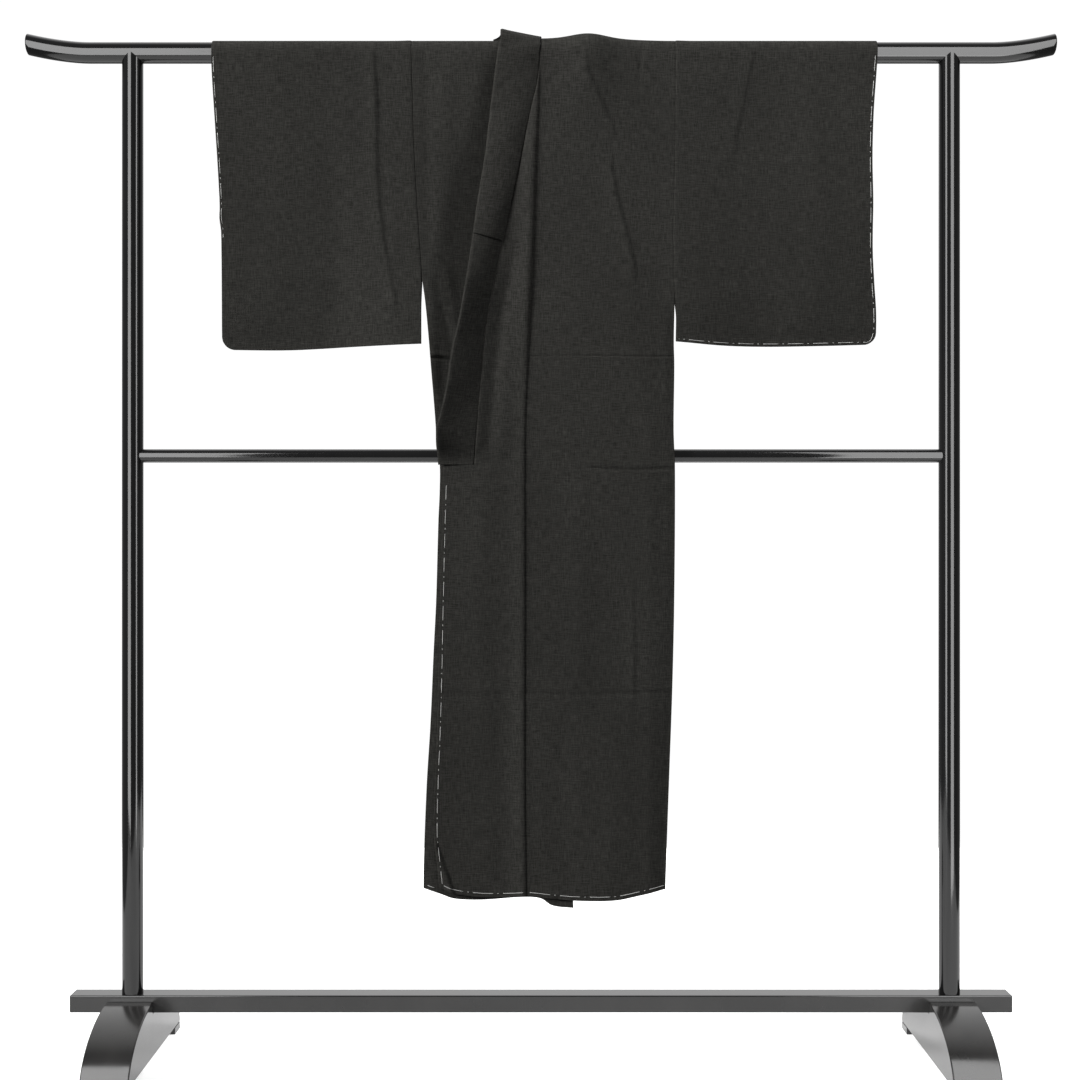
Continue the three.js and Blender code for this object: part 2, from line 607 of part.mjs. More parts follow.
// Below the armhole each sleeve hangs free of the body: the left one by its own width of gap, the
// right one because its edge drops straight down.
const FREE_GAP = { width: 2.6, drop: 40 };
const leftFree = (z) => {
  const end = SLEEVES.left.armholeEnd;
  return FREE_GAP.width * ramp(end, end - FREE_GAP.drop, z);
};
const rightArmhole = (z) => {
  const end = SLEEVES.right.armholeEnd;
  return z < end ? Math.min(rightSide(z), rightSide(end)) : rightSide(z);
};

const sleeveLeft = () => sleeve(
  1,
  (z) => leftSide(z) + SEAM_RUN + leftFree(z),
  edge(LEFT_CUFF),
  hem(LEFT_SLEEVE_BOTTOM),
  SLEEVES.left,
);

const sleeveRight = () => sleeve(
  -1,
  (z) => rightArmhole(z) - SEAM_RUN,
  edge(RIGHT_CUFF),
  hem(RIGHT_SLEEVE_BOTTOM),
  SLEEVES.right,
);

// ---------------------------------------------------------------- solids for cuts and joins

function toSolid(geometry) {
  const bare = geometry.clone();
  bare.deleteAttribute("normal");
  bare.deleteAttribute("uv");
  const merged = mergeVertices(bare);
  return new wasm.Manifold(new wasm.Mesh({
    numProp: 3,
    vertProperties: new Float32Array(merged.attributes.position.array),
    triVerts: new Uint32Array(merged.index.array),
  }));
}

function toGeometry(solid) {
  const mesh = solid.getMesh();
  const geometry = new THREE.BufferGeometry();
  geometry.setAttribute("position", new THREE.Float32BufferAttribute(mesh.vertProperties, 3));
  geometry.setIndex(Array.from(mesh.triVerts));
  return geometry;
}

function rod(radius, length, direction) {
  const geometry = new THREE.CylinderGeometry(radius, radius, length, 32, 1);
  if (direction === "x") geometry.rotateZ(Math.PI / 2);
  if (direction === "z") geometry.rotateX(Math.PI / 2);
  return geometry;
}

// ---------------------------------------------------------------- rack

const BAR_SIDES = 32;

// The top bar: rings along X whose centres rise towards both ends.
function topBar() {
  const half = RACK.barLength / 2;
  const bend = steps(7).map((t) => t * RACK.tipRun);
  const places = [
    ...bend.map((run) => -half + run),
    ...bend.map((run) => half - run).reverse(),
  ];
  const rise = (x) => {
    const run = Math.max(0, Math.abs(x) - (half - RACK.tipRun)) / RACK.tipRun;
    return RACK.tipRise * run ** 1.7;
  };
  const positions = [];
  const index = [];
  for (const x of places) {
    for (let k = 0; k < BAR_SIDES; k += 1) {
      const angle = (2 * Math.PI * k) / BAR_SIDES;
      const y = RACK.barRadius * Math.cos(angle);
      positions.push(x, y, RACK.barHeight + rise(x) + RACK.barRadius * Math.sin(angle));
    }
  }
  const ring = (i, k) => i * BAR_SIDES + (k % BAR_SIDES);
  for (let i = 0; i < places.length - 1; i += 1) {
    for (let k = 0; k < BAR_SIDES; k += 1) {
      index.push(ring(i, k), ring(i, k + 1), ring(i + 1, k + 1));
      index.push(ring(i, k), ring(i + 1, k + 1), ring(i + 1, k));
    }
  }
  const last = places.length - 1;
  for (let k = 1; k < BAR_SIDES - 1; k += 1) {
    index.push(ring(0, 0), ring(0, k + 1), ring(0, k));
    index.push(ring(last, 0), ring(last, k), ring(last, k + 1));
  }
  const geometry = new THREE.BufferGeometry();
  geometry.setAttribute("position", new THREE.Float32BufferAttribute(positions, 3));
  geometry.setIndex(index);
  return geometry;
}

const beamTop = RACK.beamBottom + RACK.beamHeight;

// A post stands on the beam and its head is hollowed to fit under the bar.
function post(side) {
  const bottom = beamTop + FIT;
  const height = RACK.barHeight - bottom;
  const shaft = rod(RACK.postRadius, height, "z");
  shaft.translate(side * RACK.postSpacing / 2, 0, bottom + height / 2);
  const saddle = rod(RACK.barRadius + FIT, 4 * RACK.postRadius, "x");
  saddle.translate(side * RACK.postSpacing / 2, 0, RACK.barHeight);
  return toGeometry(toSolid(shaft).subtract(toSolid(saddle)));
}

// The lower bar runs between the posts, its ends shaped to their round sides.
function lowerBar() {
  const bar = rod(RACK.lowerBarRadius, RACK.postSpacing, "x");
  bar.translate(0, 0, RACK.lowerBarHeight);
  let solid = toSolid(bar);
  for (const side of [-1, 1]) {
    const socket = rod(RACK.postRadius + FIT, 100, "z");
    socket.translate(side * RACK.postSpacing / 2, 0, RACK.lowerBarHeight);
    solid = solid.subtract(toSolid(socket));
  }
  return toGeometry(solid);
}

function baseBeam() {
  const halfDepth = RACK.beamDepth / 2 - RACK.beamBevel;
  const halfHeight = RACK.beamHeight / 2 - RACK.beamBevel;
  const outline = new THREE.Shape();
  const corners = [[1, 1, 0], [-1, 1, 0.5], [-1, -1, 1], [1, -1, 1.5]];
  for (const [sideY, sideZ, turn] of corners) {
    const centreY = sideY * halfDepth;
    const centreZ = sideZ * halfHeight;
    outline.absarc(centreY, centreZ, RACK.beamBevel, turn * Math.PI, (turn + 0.5) * Math.PI, false);
  }
  const geometry = new THREE.ExtrudeGeometry(outline, {
    depth: RACK.beamLength, bevelEnabled: false, curveSegments: 2,
  });
  geometry.rotateX(Math.PI / 2);
  geometry.rotateZ(Math.PI / 2);
  geometry.translate(-RACK.beamLength / 2, 0, RACK.beamBottom + RACK.beamHeight / 2);
  return geometry;
}

// A shape drawn in Y and Z, drawn out along X by the width of a foot.
function footSlab(outline, side) {
  const geometry = new THREE.ExtrudeGeometry(outline, { depth: RACK.footWidth, bevelEnabled: false });
  geometry.rotateX(Math.PI / 2);
  geometry.rotateZ(Math.PI / 2);
  geometry.translate(side * RACK.postSpacing / 2 - RACK.footWidth / 2, 0, 0);
  return geometry;
}

// A foot: an arched runner, notched on top for the beam.
function foot(side) {
  const reach = RACK.footHalfLength;
  const underside = RACK.padHeight + FIT;
  const notch = RACK.beamDepth / 2 + FIT;
  const notchFloor = RACK.beamBottom - FIT;
  const arch = (y) => RACK.footHeight * Math.sqrt(1 - (y / reach) ** 2);
  const firstTurn = Math.asin(underside / RACK.footHeight);
  const notchTurn = Math.acos(notch / reach);
  const profile = steps(14, firstTurn, notchTurn).map((angle) => reach * Math.cos(angle));
  const outline = new THREE.Shape();
  outline.moveTo(-profile[0], underside);
  profile.slice(1).forEach((y) => outline.lineTo(-y, arch(y)));
  outline.lineTo(-notch, notchFloor);
  outline.lineTo(notch, notchFloor);
  [...profile].reverse().forEach((y) => outline.lineTo(y, arch(y)));
  outline.closePath();
  return footSlab(outline, side);
}

// The block that a foot stands on at its front or back end.
function footPad(side, end) {
  const outer = RACK.footHalfLength - RACK.padInset;
  const inner = outer - RACK.padLength;
  const outline = new THREE.Shape();
  outline.moveTo(end * inner, 0);
  outline.lineTo(end * outer, 0);
  outline.lineTo(end * outer, RACK.padHeight);
  outline.lineTo(end * inner, RACK.padHeight);
  outline.closePath();
  return footSlab(outline, side);
}

// ---------------------------------------------------------------- the scene graph

const kimonoCloth = new THREE.MeshStandardMaterial({ color: 0x2f2e2c, roughness: 0.95, metalness: 0 });
const lacquer = new THREE.MeshStandardMaterial({ color: 0x0a0a0b, roughness: 0.12, metalness: 0 });

const kimono = new THREE.Group();
const rack = new THREE.Group();
const piece = (group, name, geometry, material) => {
  const mesh = new THREE.Mesh(geometry, material);
  mesh.name = name;
  group.add(mesh);
};

piece(kimono, "body_left", bodyLeft(), kimonoCloth);
piece(kimono, "body_right", bodyRight(), kimonoCloth);
piece(kimono, "sleeve_left", sleeveLeft(), kimonoCloth);
piece(kimono, "sleeve_right", sleeveRight(), kimonoCloth);
piece(kimono, "okumi_left", okumiLeft(), kimonoCloth);
piece(kimono, "okumi_right", okumiRight(), kimonoCloth);
piece(kimono, "collar_left", collarLeft(), kimonoCloth);
piece(kimono, "collar_right", collarRight(), kimonoCloth);
piece(kimono, "over_collar", overCollar(), kimonoCloth);

piece(rack, "top_bar", topBar(), lacquer);
piece(rack, "post_left", post(1), lacquer);
piece(rack, "post_right", post(-1), lacquer);
piece(rack, "lower_bar", lowerBar(), lacquer);
piece(rack, "base_beam", baseBeam(), lacquer);
piece(rack, "foot_left", foot(1), lacquer);
piece(rack, "foot_right", foot(-1), lacquer);
for (const [sideName, side] of [["left", 1], ["right", -1]]) {
  for (const [endName, end] of [["front", -1], ["back", 1]]) {
    piece(rack, `pad_${sideName}_${endName}`, footPad(side, end), lacquer);
  }
}

const part = new THREE.Group();
part.add(kimono, rack);
export default part;
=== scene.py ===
"""A dark man's kimono hanging, wrapped left over right, on a black lacquered kimono rack.

The sizes are in millimetres in the CAD frame: +X is the wearer's left, -Y the front, +Z up.
Meshes are made in metres. Each cloth piece is a thin shell on its solid's form.
"""

import math

import bpy
import numpy as np
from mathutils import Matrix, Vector
from mathutils.bvhtree import BVHTree


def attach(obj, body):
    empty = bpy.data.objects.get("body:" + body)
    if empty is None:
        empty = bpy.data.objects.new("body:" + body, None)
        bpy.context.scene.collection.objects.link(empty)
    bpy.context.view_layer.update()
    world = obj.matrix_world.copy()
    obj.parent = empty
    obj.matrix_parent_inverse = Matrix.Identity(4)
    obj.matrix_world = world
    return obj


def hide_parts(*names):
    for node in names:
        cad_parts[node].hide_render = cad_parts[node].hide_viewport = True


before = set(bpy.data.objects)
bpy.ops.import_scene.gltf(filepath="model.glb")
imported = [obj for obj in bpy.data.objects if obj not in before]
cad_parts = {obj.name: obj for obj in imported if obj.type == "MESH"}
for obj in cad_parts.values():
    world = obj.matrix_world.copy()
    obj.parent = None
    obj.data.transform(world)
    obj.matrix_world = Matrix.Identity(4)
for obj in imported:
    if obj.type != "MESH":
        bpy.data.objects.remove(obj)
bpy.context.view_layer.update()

MM = 0.001  # in metres

# ---- sizes of the rack

BAR_RADIUS = 17.75
BAR_LENGTH = 1744
BAR_HEIGHT = 1713
TIP_RUN = 105
TIP_RISE = 14.5
POST_SPACING = 1388
POST_RADIUS = 17.75
LOWER_BAR_RADIUS = 11.5
LOWER_BAR_HEIGHT = 1028
BEAM_LENGTH = 1592
BEAM_DEPTH = 38
BEAM_HEIGHT = 29
BEAM_BOTTOM = 87
FOOT_WIDTH = 79
FOOT_HALF_LENGTH = 178
FOOT_HEIGHT = 106
PAD_HEIGHT = 12
PAD_LENGTH = 38
PAD_INSET = 4
FIT = 0.3  # gap between neighbouring pieces

# ---- helpers


def mix(a, b, t):
    return a + (b - a) * t


def ramp(start, end, value):
    """Rises softly from 0 where the value is start to 1 where it is end."""
    t = np.clip((np.asarray(value, float) - start) / (end - start), 0, 1)
    return t * t * (3 - 2 * t)


def bell(t):
    """1 where t is 0, falling off on both sides."""
    return np.exp(-np.square(t))


def curve(rows):
    """A smooth curve through (place, value) rows: cubic pieces with the neighbours' slopes."""
    rows = sorted(rows)
    place = np.array([row[0] for row in rows], float)
    value = np.array([row[1] for row in rows], float)
    index = np.arange(len(rows))
    low = np.clip(index - 1, 0, None)
    high = np.clip(index + 1, None, len(rows) - 1)
    slope = (value[high] - value[low]) / (place[high] - place[low])

    def at(where):
        where = np.clip(np.asarray(where, float), place[0], place[-1])
        i = np.clip(np.searchsorted(place, where) - 1, 0, len(place) - 2)
        span = place[i + 1] - place[i]
        t = (where - place[i]) / span
        ends = value[i] * (1 + 2 * t) * (1 - t) ** 2 + value[i + 1] * t * t * (3 - 2 * t)
        return ends + slope[i] * span * t * (1 - t) ** 2 - slope[i + 1] * span * t * t * (1 - t)

    return at


# ---- sizes of the kimono

WALL = 1.6  # thickness of the solids that the shells stand for
HALF_CLOTH = 0.6  # half the thickness of the thin shells
ROLL = BAR_RADIUS + 0.5  # inner radius of the cloth over the bar
LAYER = 2.2  # pitch of the layers in the back pleat
UPPER_FRONT = 3.8  # the upper front lies this far outside the under front
SEAM_RUN = 0.6  # gap where a sleeve hangs free of the body
SEAM_LAP = 0.4  # overlap of two sewn edges
NECK_POINT = -0.7
NECKLINE = BAR_HEIGHT - 25
CENTRE_BACK = -88
KENSAKI = 1700  # height of the top point of the overlap panels
COLLAR_END = 1011
OVER_COLLAR_END = 1399
OVER_COLLAR_SLANT = 12
SIDE_TURN = 16  # width over which a side seam turns in
FRONT_HEM, BACK_HEM = 285, 292
WAIST_TUCK = 1194.5
HOLLOW_DEPTH, HOLLOW_REACH = 13.5, 66  # of the under front beside the upper collar
SEAT_HEIGHT, SEAT_WIDTH = 5.0, 26  # how the front rises under the collar's lower seam
LEFT_ARMHOLE, LEFT_CUFF_END, LEFT_CORNER = 1294, 1455, 20
RIGHT_ARMHOLE, RIGHT_CUFF_END, RIGHT_CORNER = 1331, 1433, 22
SLEEVE_BOTTOM = 1214
ARMHOLE_BLEND = 170  # over this width the sleeve leaves the hang of the body

# Height, and how far the inner faces of the front and of the back lie from the bar's middle plane.
HANG = [
    (1713, 18.25, 18.25), (1600, 18.7, 13.4), (1400, 20.2, 3.4), (1200, 22.8, -7.2),
    (1090, 25.6, -14.4), (1028, 27.2, -18.0), (900, 28.4, -18.2), (600, 29.0, -18.2),
    (260, 29.0, -18.0),
]
front_depth = curve([(z, front) for z, front, _ in HANG])
back_depth = curve([(z, back) for z, _, back in HANG])

# Height and X of the upright edges.
left_side = curve([
    (1732, 228.2), (1535, 226.5), (1407, 223.6), (1294, 225.2), (1217, 224.0), (1180, 224.8),
    (1070, 223.3), (1003, 225.4), (784, 224.0), (632, 220.6), (509, 216.3), (407, 212.7),
    (260, 207.8),
])
right_side = curve([
    (1732, -220.5), (1558, -215.4), (1489, -212.1), (1331, -201.1), (1289, -195.6),
    (1225, -189.4), (1180, -185.8), (1127, -181.2), (1077, -177.4), (1040, -176.2),
    (1015, -170.6), (964, -170.6), (919, -172.6), (784, -176.4), (698, -180.6), (579, -185.8),
    (474, -192.2), (338, -197.2), (260, -197.6),
])
okumi_seam = curve([
    (1732, -0.7), (1695, -1.8), (1615, -3.9), (1534, -7.6), (1405, -11.8), (1255, -18.5),
    (1127, -24.6), (1063, -26.4), (784, -26.4), (475, -26.6), (260, -24.0),
])
collar_seam = curve([
    (1732, -0.7), (1658, -6.4), (1618, -16.0), (1574, -25.6), (1509, -38.4), (1421, -57.2),
    (1341, -74.0), (1255, -91.5), (1204, -97.5), (1144, -102.6), (1086, -107.6), (1011, -113.0),
])
collar_edge = curve([
    (1732, -68.0), (1710, -72.4), (1630, -82.6), (1533, -94.0), (1453, -106.8), (1405, -113.0),
    (1325, -124.3), (1254, -136.4), (1201, -148.6), (1144, -156.8), (1095, -167.4),
    (1070, -174.0), (1011, -172.6),
])
okumi_edge = curve([
    (1011, -163.4), (964, -164.9), (870, -167.4), (767, -169.8), (646, -172.2), (544, -175.3),
    (475, -178.2), (389, -179.6), (339, -174.4), (300, -170.4),
])
under_seam = curve([(1732, -1.2), (1645, 1.4), (1400, 11), (1000, 28), (600, 42), (260, 54.7)])
under_edge = curve([(1011, 162), (600, 168), (260, 172)])
left_cuff = curve([
    (1735, 569.4), (1686, 567.2), (1608, 562.2), (1531, 560.6), (1458, 562.4), (1375, 562.2),
    (1318, 565.2), (1267, 568.6), (1205, 568.4),
])
right_cuff = curve([
    (1735, -556.4), (1686, -556.4), (1590, -551.0), (1512, -546.4), (1453, -543.8),
    (1433, -544.4), (1410, -541.8), (1205, -541.4),
])
# X and height of the lower edges.
left_sleeve_bottom = curve([(226, 1220), (305, 1214), (383, 1213), (480, 1214.5), (570, 1217)])
right_sleeve_bottom = curve([(-550, 1208), (-431, 1207), (-324, 1212), (-201, 1216)])
upper_hem = curve([
    (-171, 302), (-146, 291), (-101, 285), (-52, 285), (-25, 287), (18, 283), (55, 280),
    (123, 280), (166, 288), (209, 298),
])
under_hem = curve([
    (-198, 300), (-169, 290), (-146, 282), (-100, 280), (-31, 285), (0, 283), (18, 271.5),
    (55, 267),
])
under_okumi_hem = curve([(54, 292), (110, 297), (175, 306)])
back_hem = curve([(-198, 300), (-90, 292), (30, 290), (130, 293), (209, 298)])


def under_collar_seam(z):
    return 2 * NECK_POINT - collar_seam(z)


def under_collar_edge(z):
    return 2 * NECK_POINT - collar_edge(z)


def under_reach(z):
    """X of the free edge of the under front."""
    return np.where(z > COLLAR_END, under_collar_edge(z), mix(172, 174, (COLLAR_END - z) / 750))


# ---- how the cloth hangs


def front_wave(x, z):
    low = ramp(1250, 700, z)
    return low * (1.5 * np.sin(x / 46 + z / 390) + 1.0 * np.sin(x / 83 - z / 240 + 1.3))


def back_wave(x, z):
    return ramp(980, 500, z) * np.sin(x / 58 + z / 310 + 0.6)


def shoulder_lift(x):
    """The left shoulder is lifted by the under collar beneath it."""
    return 8.5 * bell((x - 80) / 40)


def under_hollow(x, z):
    """The under front sinks in beside the free edge of the upper collar."""
    along = mix(0.85, 1, ramp(1200, 1330, z)) * ramp(1060, 1170, z) * ramp(1722, 1650, z)
    upwards = ramp(1350, 1700, z)
    reach = mix(HOLLOW_REACH, 22, upwards)
    depth = mix(HOLLOW_DEPTH, 6.5, upwards) * mix(0.8, 1, ramp(1140, 1260, z))
    from_side = ramp(0, 18, x - right_side(z))
    return -depth * along * from_side * ramp(-reach - 8, 4, x - collar_edge(z))


def upper_level(x, z):
    """How far the left panel lies outside the innermost layer of the front."""
    over = 1 - ramp(0, 1, (x - under_reach(z) - 4) / (left_side(z) - 7 - under_reach(z)))
    return UPPER_FRONT * over + shoulder_lift(x) * ramp(1560, BAR_HEIGHT, z)


def collar_seat(z):
    """How far the collar's seam is lifted off the front, in the collar's lower half."""
    return SEAT_HEIGHT * ramp(1440, 1300, z) * ramp(1012, 1050, z)


def okumi_roll(x, z):
    """How the upper overlap panel rises towards its seam and falls away beside the collar."""
    beside_seam = 2.2 * ramp(1100, 1300, z) * ramp(1660, 1500, z)
    from_fold = x - okumi_seam(z) + 9
    beside_seam = beside_seam * bell(from_fold / np.where(from_fold > 0, 5.5, 15))
    from_collar = x - collar_seam(z)
    rise = ramp(22, 44, from_collar) * ramp(76, 44, from_collar)
    rolled = 2.2 * ramp(COLLAR_END + 1, 1060, z) * ramp(1420, 1250, z) * rise
    return beside_seam + rolled + collar_seat(z) * ramp(SEAT_WIDTH, 0, from_collar)


def side_closing(x, z, side):
    """1 where front and back meet at a side seam: side is 1 on the left, -1 on the right."""
    if side == 0:
        return 0 * x
    gap = left_side(z) - x if side > 0 else x - right_side(z)
    armhole = LEFT_ARMHOLE if side > 0 else RIGHT_ARMHOLE
    return (1 - ramp(0, SIDE_TURN, gap)) * ramp(armhole, armhole - 60, z)


def side_plane(x, z):
    """How far forward the side seams lie: near the front, which hangs flat to its edge."""
    return mix(front_depth(z) + front_wave(x, z), -back_depth(z) - back_wave(x, z), 0.15)


def front_y(x, z, level, side=0):
    depth = front_depth(z) + front_wave(x, z)
    meet = side_plane(x, z) + FIT / 2
    return -(mix(depth, meet, side_closing(x, z, side)) + level)


def back_y(x, z, level, side=0):
    depth = back_depth(z) + back_wave(x, z)
    meet = FIT / 2 - side_plane(x, z)
    return mix(depth, meet, side_closing(x, z, side)) + level


def settle(share, low, top, place_x):
    """X and height of points a share of the way from the lower edge to the top."""
    z = mix(low(place_x(0 * share + 600)), top, share)
    for _ in range(8):
        z = mix(low(place_x(z)), top, share)
    return place_x(z), z


# ---- soft creases
# A crease is a line along which the cloth is raised (height above 0) or sunken (below 0).
# upright and fold take (height, X) points and sideways takes (X, height) points. Then come the
# height, the half width and the length over which the ends run out, all in millimetres.


def crease_line(points, fade):
    low, high = min(points)[0], max(points)[0]

    def ends(along):
        return ramp(low - fade, low, along) * ramp(high + fade, high, along)

    return curve(points), ends


def upright(points, height, width, fade=60):
    line, ends = crease_line(points, fade)
    return lambda x, z: height * ends(z) * bell((x - line(z)) / width)


def sideways(points, height, width, fade=60):
    line, ends = crease_line(points, fade)
    return lambda x, z: height * ends(x) * bell((z - line(x)) / width)


def fold(points, height, width, fade=30, drop=3.0):
    """An upright pressed fold: the cloth rises gently from the left and drops off on the right."""
    line, ends = crease_line(points, fade)

    def relief(x, z):
        across = x - line(z)
        rise = np.where(across < 0, bell(across / width), ramp(drop, 0, across))
        return height * ends(z) * rise

    return relief


RIGHT_SLEEVE_CREASES = [
    fold([(1712, -283), (1626, -279), (1495, -277), (1423, -270), (1330, -255), (1290, -245)],
         2.1, 15, 30, 3.6),
    upright([(1640, -269), (1495, -265), (1400, -258)], -0.6, 7, 60),
    sideways([(-538, 1463), (-470, 1462), (-383, 1463)], -0.8, 3, 30),
    sideways([(-520, 1330), (-420, 1334), (-300, 1322)], 0.8, 16, 60),
    upright([(1660, -450), (1500, -440), (1300, -452)], 1.3, 30, 80),
    upright([(1640, -360), (1480, -352), (1290, -340)], -1.2, 24, 80),
]
LEFT_SLEEVE_CREASES = [
    fold([(1712, 358), (1650, 345), (1570, 328)], 1.3, 18, 40, 7),
    upright([(1560, 336), (1520, 330), (1488, 330)], -0.5, 9, 40),
    sideways([(240, 1527), (380, 1528), (540, 1524)], 0.8, 3, 40),
    sideways([(280, 1664), (450, 1664)], 0.5, 3, 30),
    sideways([(270, 1241), (400, 1240), (520, 1242)], 0.6, 5, 40),
    upright([(1620, 455), (1450, 470), (1280, 462)], 1.2, 28, 80),
    sideways([(300, 1300), (420, 1306), (520, 1300)], 0.8, 18, 60),
]
LEFT_FRONT_CREASES = [
    fold([(1682, 76), (1657, 84), (1602, 112), (1579, 122)], 2.2, 12, 22),
    upright([(1600, 112), (1540, 122), (1509, 120)], -0.6, 6, 30),
    fold([(1515, 119), (1463, 128), (1412, 141), (1373, 151), (1340, 158)], 2.0, 12, 24),
    upright([(1712, 170), (1678, 166)], -1.3, 4, 14),
    sideways([(90, 1006), (150, 1003), (222, 1005)], -1.1, 3.0, 30),
    sideways([(90, 1012), (150, 1011), (222, 1012)], 0.5, 6, 30),
    sideways([(145, 997), (205, 991)], -0.9, 3, 20),
    sideways([(-5, 1055), (72, 1055)], 0.9, 4, 20),
    sideways([(-22, 972), (96, 972)], 0.9, 4, 24),
    sideways([(-20, 627), (90, 625), (222, 628)], -0.4, 4, 40),
    sideways([(116, 628), (220, 629)], -0.5, 4, 20),
    sideways([(-20, 635), (90, 633), (222, 636)], 0.3, 5, 40),
    fold([(790, 154), (740, 156), (633, 156)], 1.1, 12, 30),
    upright([(930, 60), (800, 66), (660, 58)], 1.4, 26, 120),
    upright([(560, 120), (450, 128), (330, 118)], 1.5, 30, 90),
    upright([(560, 40), (450, 34), (330, 40)], -1.4, 24, 90),
]
OKUMI_CREASES = [
    sideways([(-180, 627), (-100, 625), (-28, 627)], -0.9, 3.5, 30),
    sideways([(-180, 635), (-100, 633), (-28, 635)], 0.7, 5, 30),
    fold([(369, -176), (330, -161), (288, -147)], 2.8, 11, 16),
    upright([(940, -96), (780, -104), (600, -98)], 1.5, 24, 120),
    upright([(560, -70), (450, -62), (320, -66)], -1.2, 20, 90),
    sideways([(-150, 972), (-60, 975)], 0.8, 5, 30),
]
UNDER_FRONT_CREASES = [
    upright([(1640, -160), (1480, -166), (1330, -172)], 1.4, 16, 80),
    upright([(1700, -196), (1560, -192), (1400, -190)], -0.9, 8, 60),
    sideways([(-190, 1191), (-165, 1192), (-145, 1188)], -1.3, 2.6, 20),
    sideways([(-190, 1198), (-165, 1199), (-145, 1195)], 1.2, 4, 20),
    upright([(1310, -176), (1250, -160), (1210, -152)], -1.6, 7, 30),
    upright([(1330, -158), (1270, -146), (1230, -140)], 1.5, 8, 30),
]
BACK_CREASES = [
    upright([(1690, 60), (1600, 84), (1500, 96)], -1.5, 8, 60),
    upright([(1690, 74), (1600, 98), (1500, 110)], 1.6, 12, 60),
    upright([(1650, -120), (1520, -132), (1400, -128)], 1.4, 18, 80),
    sideways([(-180, 1195), (0, 1192), (215, 1196)], -1.3, 2.4, 40),
    sideways([(-180, 1187), (0, 1184), (215, 1188)], 0.9, 4, 40),
    sideways([(-170, 1002), (20, 1006), (215, 1000)], -1.0, 4, 50),
    sideways([(-170, 640), (60, 634), (212, 640)], -0.9, 4, 50),
    upright([(900, -30), (760, -22), (620, -28)], 1.5, 26, 120),
    upright([(600, 130), (450, 122), (320, 128)], 1.5, 24, 110),
    upright([(560, -140), (440, -146), (320, -142)], -1.3, 20, 90),
]
RIGHT_SLEEVE_BACK_CREASES = [
    upright([(1700, -262), (1560, -268), (1380, -250)], -1.7, 7, 60),
    upright([(1690, -400), (1500, -392), (1300, -404)], 1.4, 24, 80),
    sideways([(-530, 1470), (-300, 1462)], 0.6, 5, 50),
]
LEFT_SLEEVE_BACK_CREASES = [
    upright([(1700, 310), (1600, 330), (1470, 336)], -1.6, 8, 60),
    upright([(1690, 430), (1500, 442), (1300, 430)], 1.4, 24, 80),
    sideways([(250, 1530), (520, 1536)], 0.6, 5, 50),
]


def waist_tuck(x, z):
    """The tuck sewn across the waist: a fine groove with a soft welt above and below it."""
    line = WAIST_TUCK + 0.8 * np.sin(x / 37)
    groove = -1.5 * bell((z - line) / 1.4)
    return groove + 0.9 * bell((z - line - 4.5) / 3.6) + 0.7 * bell((z - line + 4.0) / 2.6)


def turned(distance, depth=1.5, reach=2.6):
    """How far a sewn edge sinks towards its seam, at a distance from the seam."""
    return -depth * np.clip(1 - distance / reach, 0, 1) ** 2


def total(creases, x, z):
    return sum(relief(x, z) for relief in creases)


# ---- thin cloth shells

RIM = [0, 0.12, 0.45, 1.1, 2.2, 3.6]  # distances of the first rows or columns from an edge


def spread(count, length, extra=()):
    """Shares from 0 to 1, evenly spaced but closer at both ends, for rounded edges."""
    start = [distance / length for distance in RIM]
    end = [1 - share for share in start]
    clear = start[-1] + 0.42 / count
    even = [share for share in np.linspace(0, 1, count) if clear < share < 1 - clear]
    return np.array(sorted({*start, *end, *even, *extra}))


def spread_from_hem(count, length, extra=()):
    """The same, but closer only at the start."""
    return spread(count, length, extra)[:-len(RIM)]


def surface_normals(points):
    normal = np.cross(np.gradient(points, axis=1), np.gradient(points, axis=0))
    return normal / np.maximum(np.linalg.norm(normal, axis=2, keepdims=True), 1e-9)


def rim_distance(points, keep):
    """How far each grid point lies from the nearest edge of the kept cells, up to 4 mm."""
    filled = np.pad(keep, 1)
    around = [filled[1:, 1:], filled[:-1, 1:], filled[1:, :-1], filled[:-1, :-1]]
    on_edge = ~(around[0] & around[1] & around[2] & around[3])
    used = around[0] | around[1] | around[2] | around[3]
    distance = np.where(on_edge & used, 0.0, 4.0)
    for axis in (0, 1):
        step = np.moveaxis(np.linalg.norm(np.diff(points, axis=axis), axis=2), axis, 0)
        view = np.moveaxis(distance, axis, 0)
        for i in range(len(step)):
            view[i + 1] = np.minimum(view[i + 1], view[i] + step[i])
        for i in reversed(range(len(step))):
            view[i] = np.minimum(view[i], view[i + 1] + step[i])
    return distance


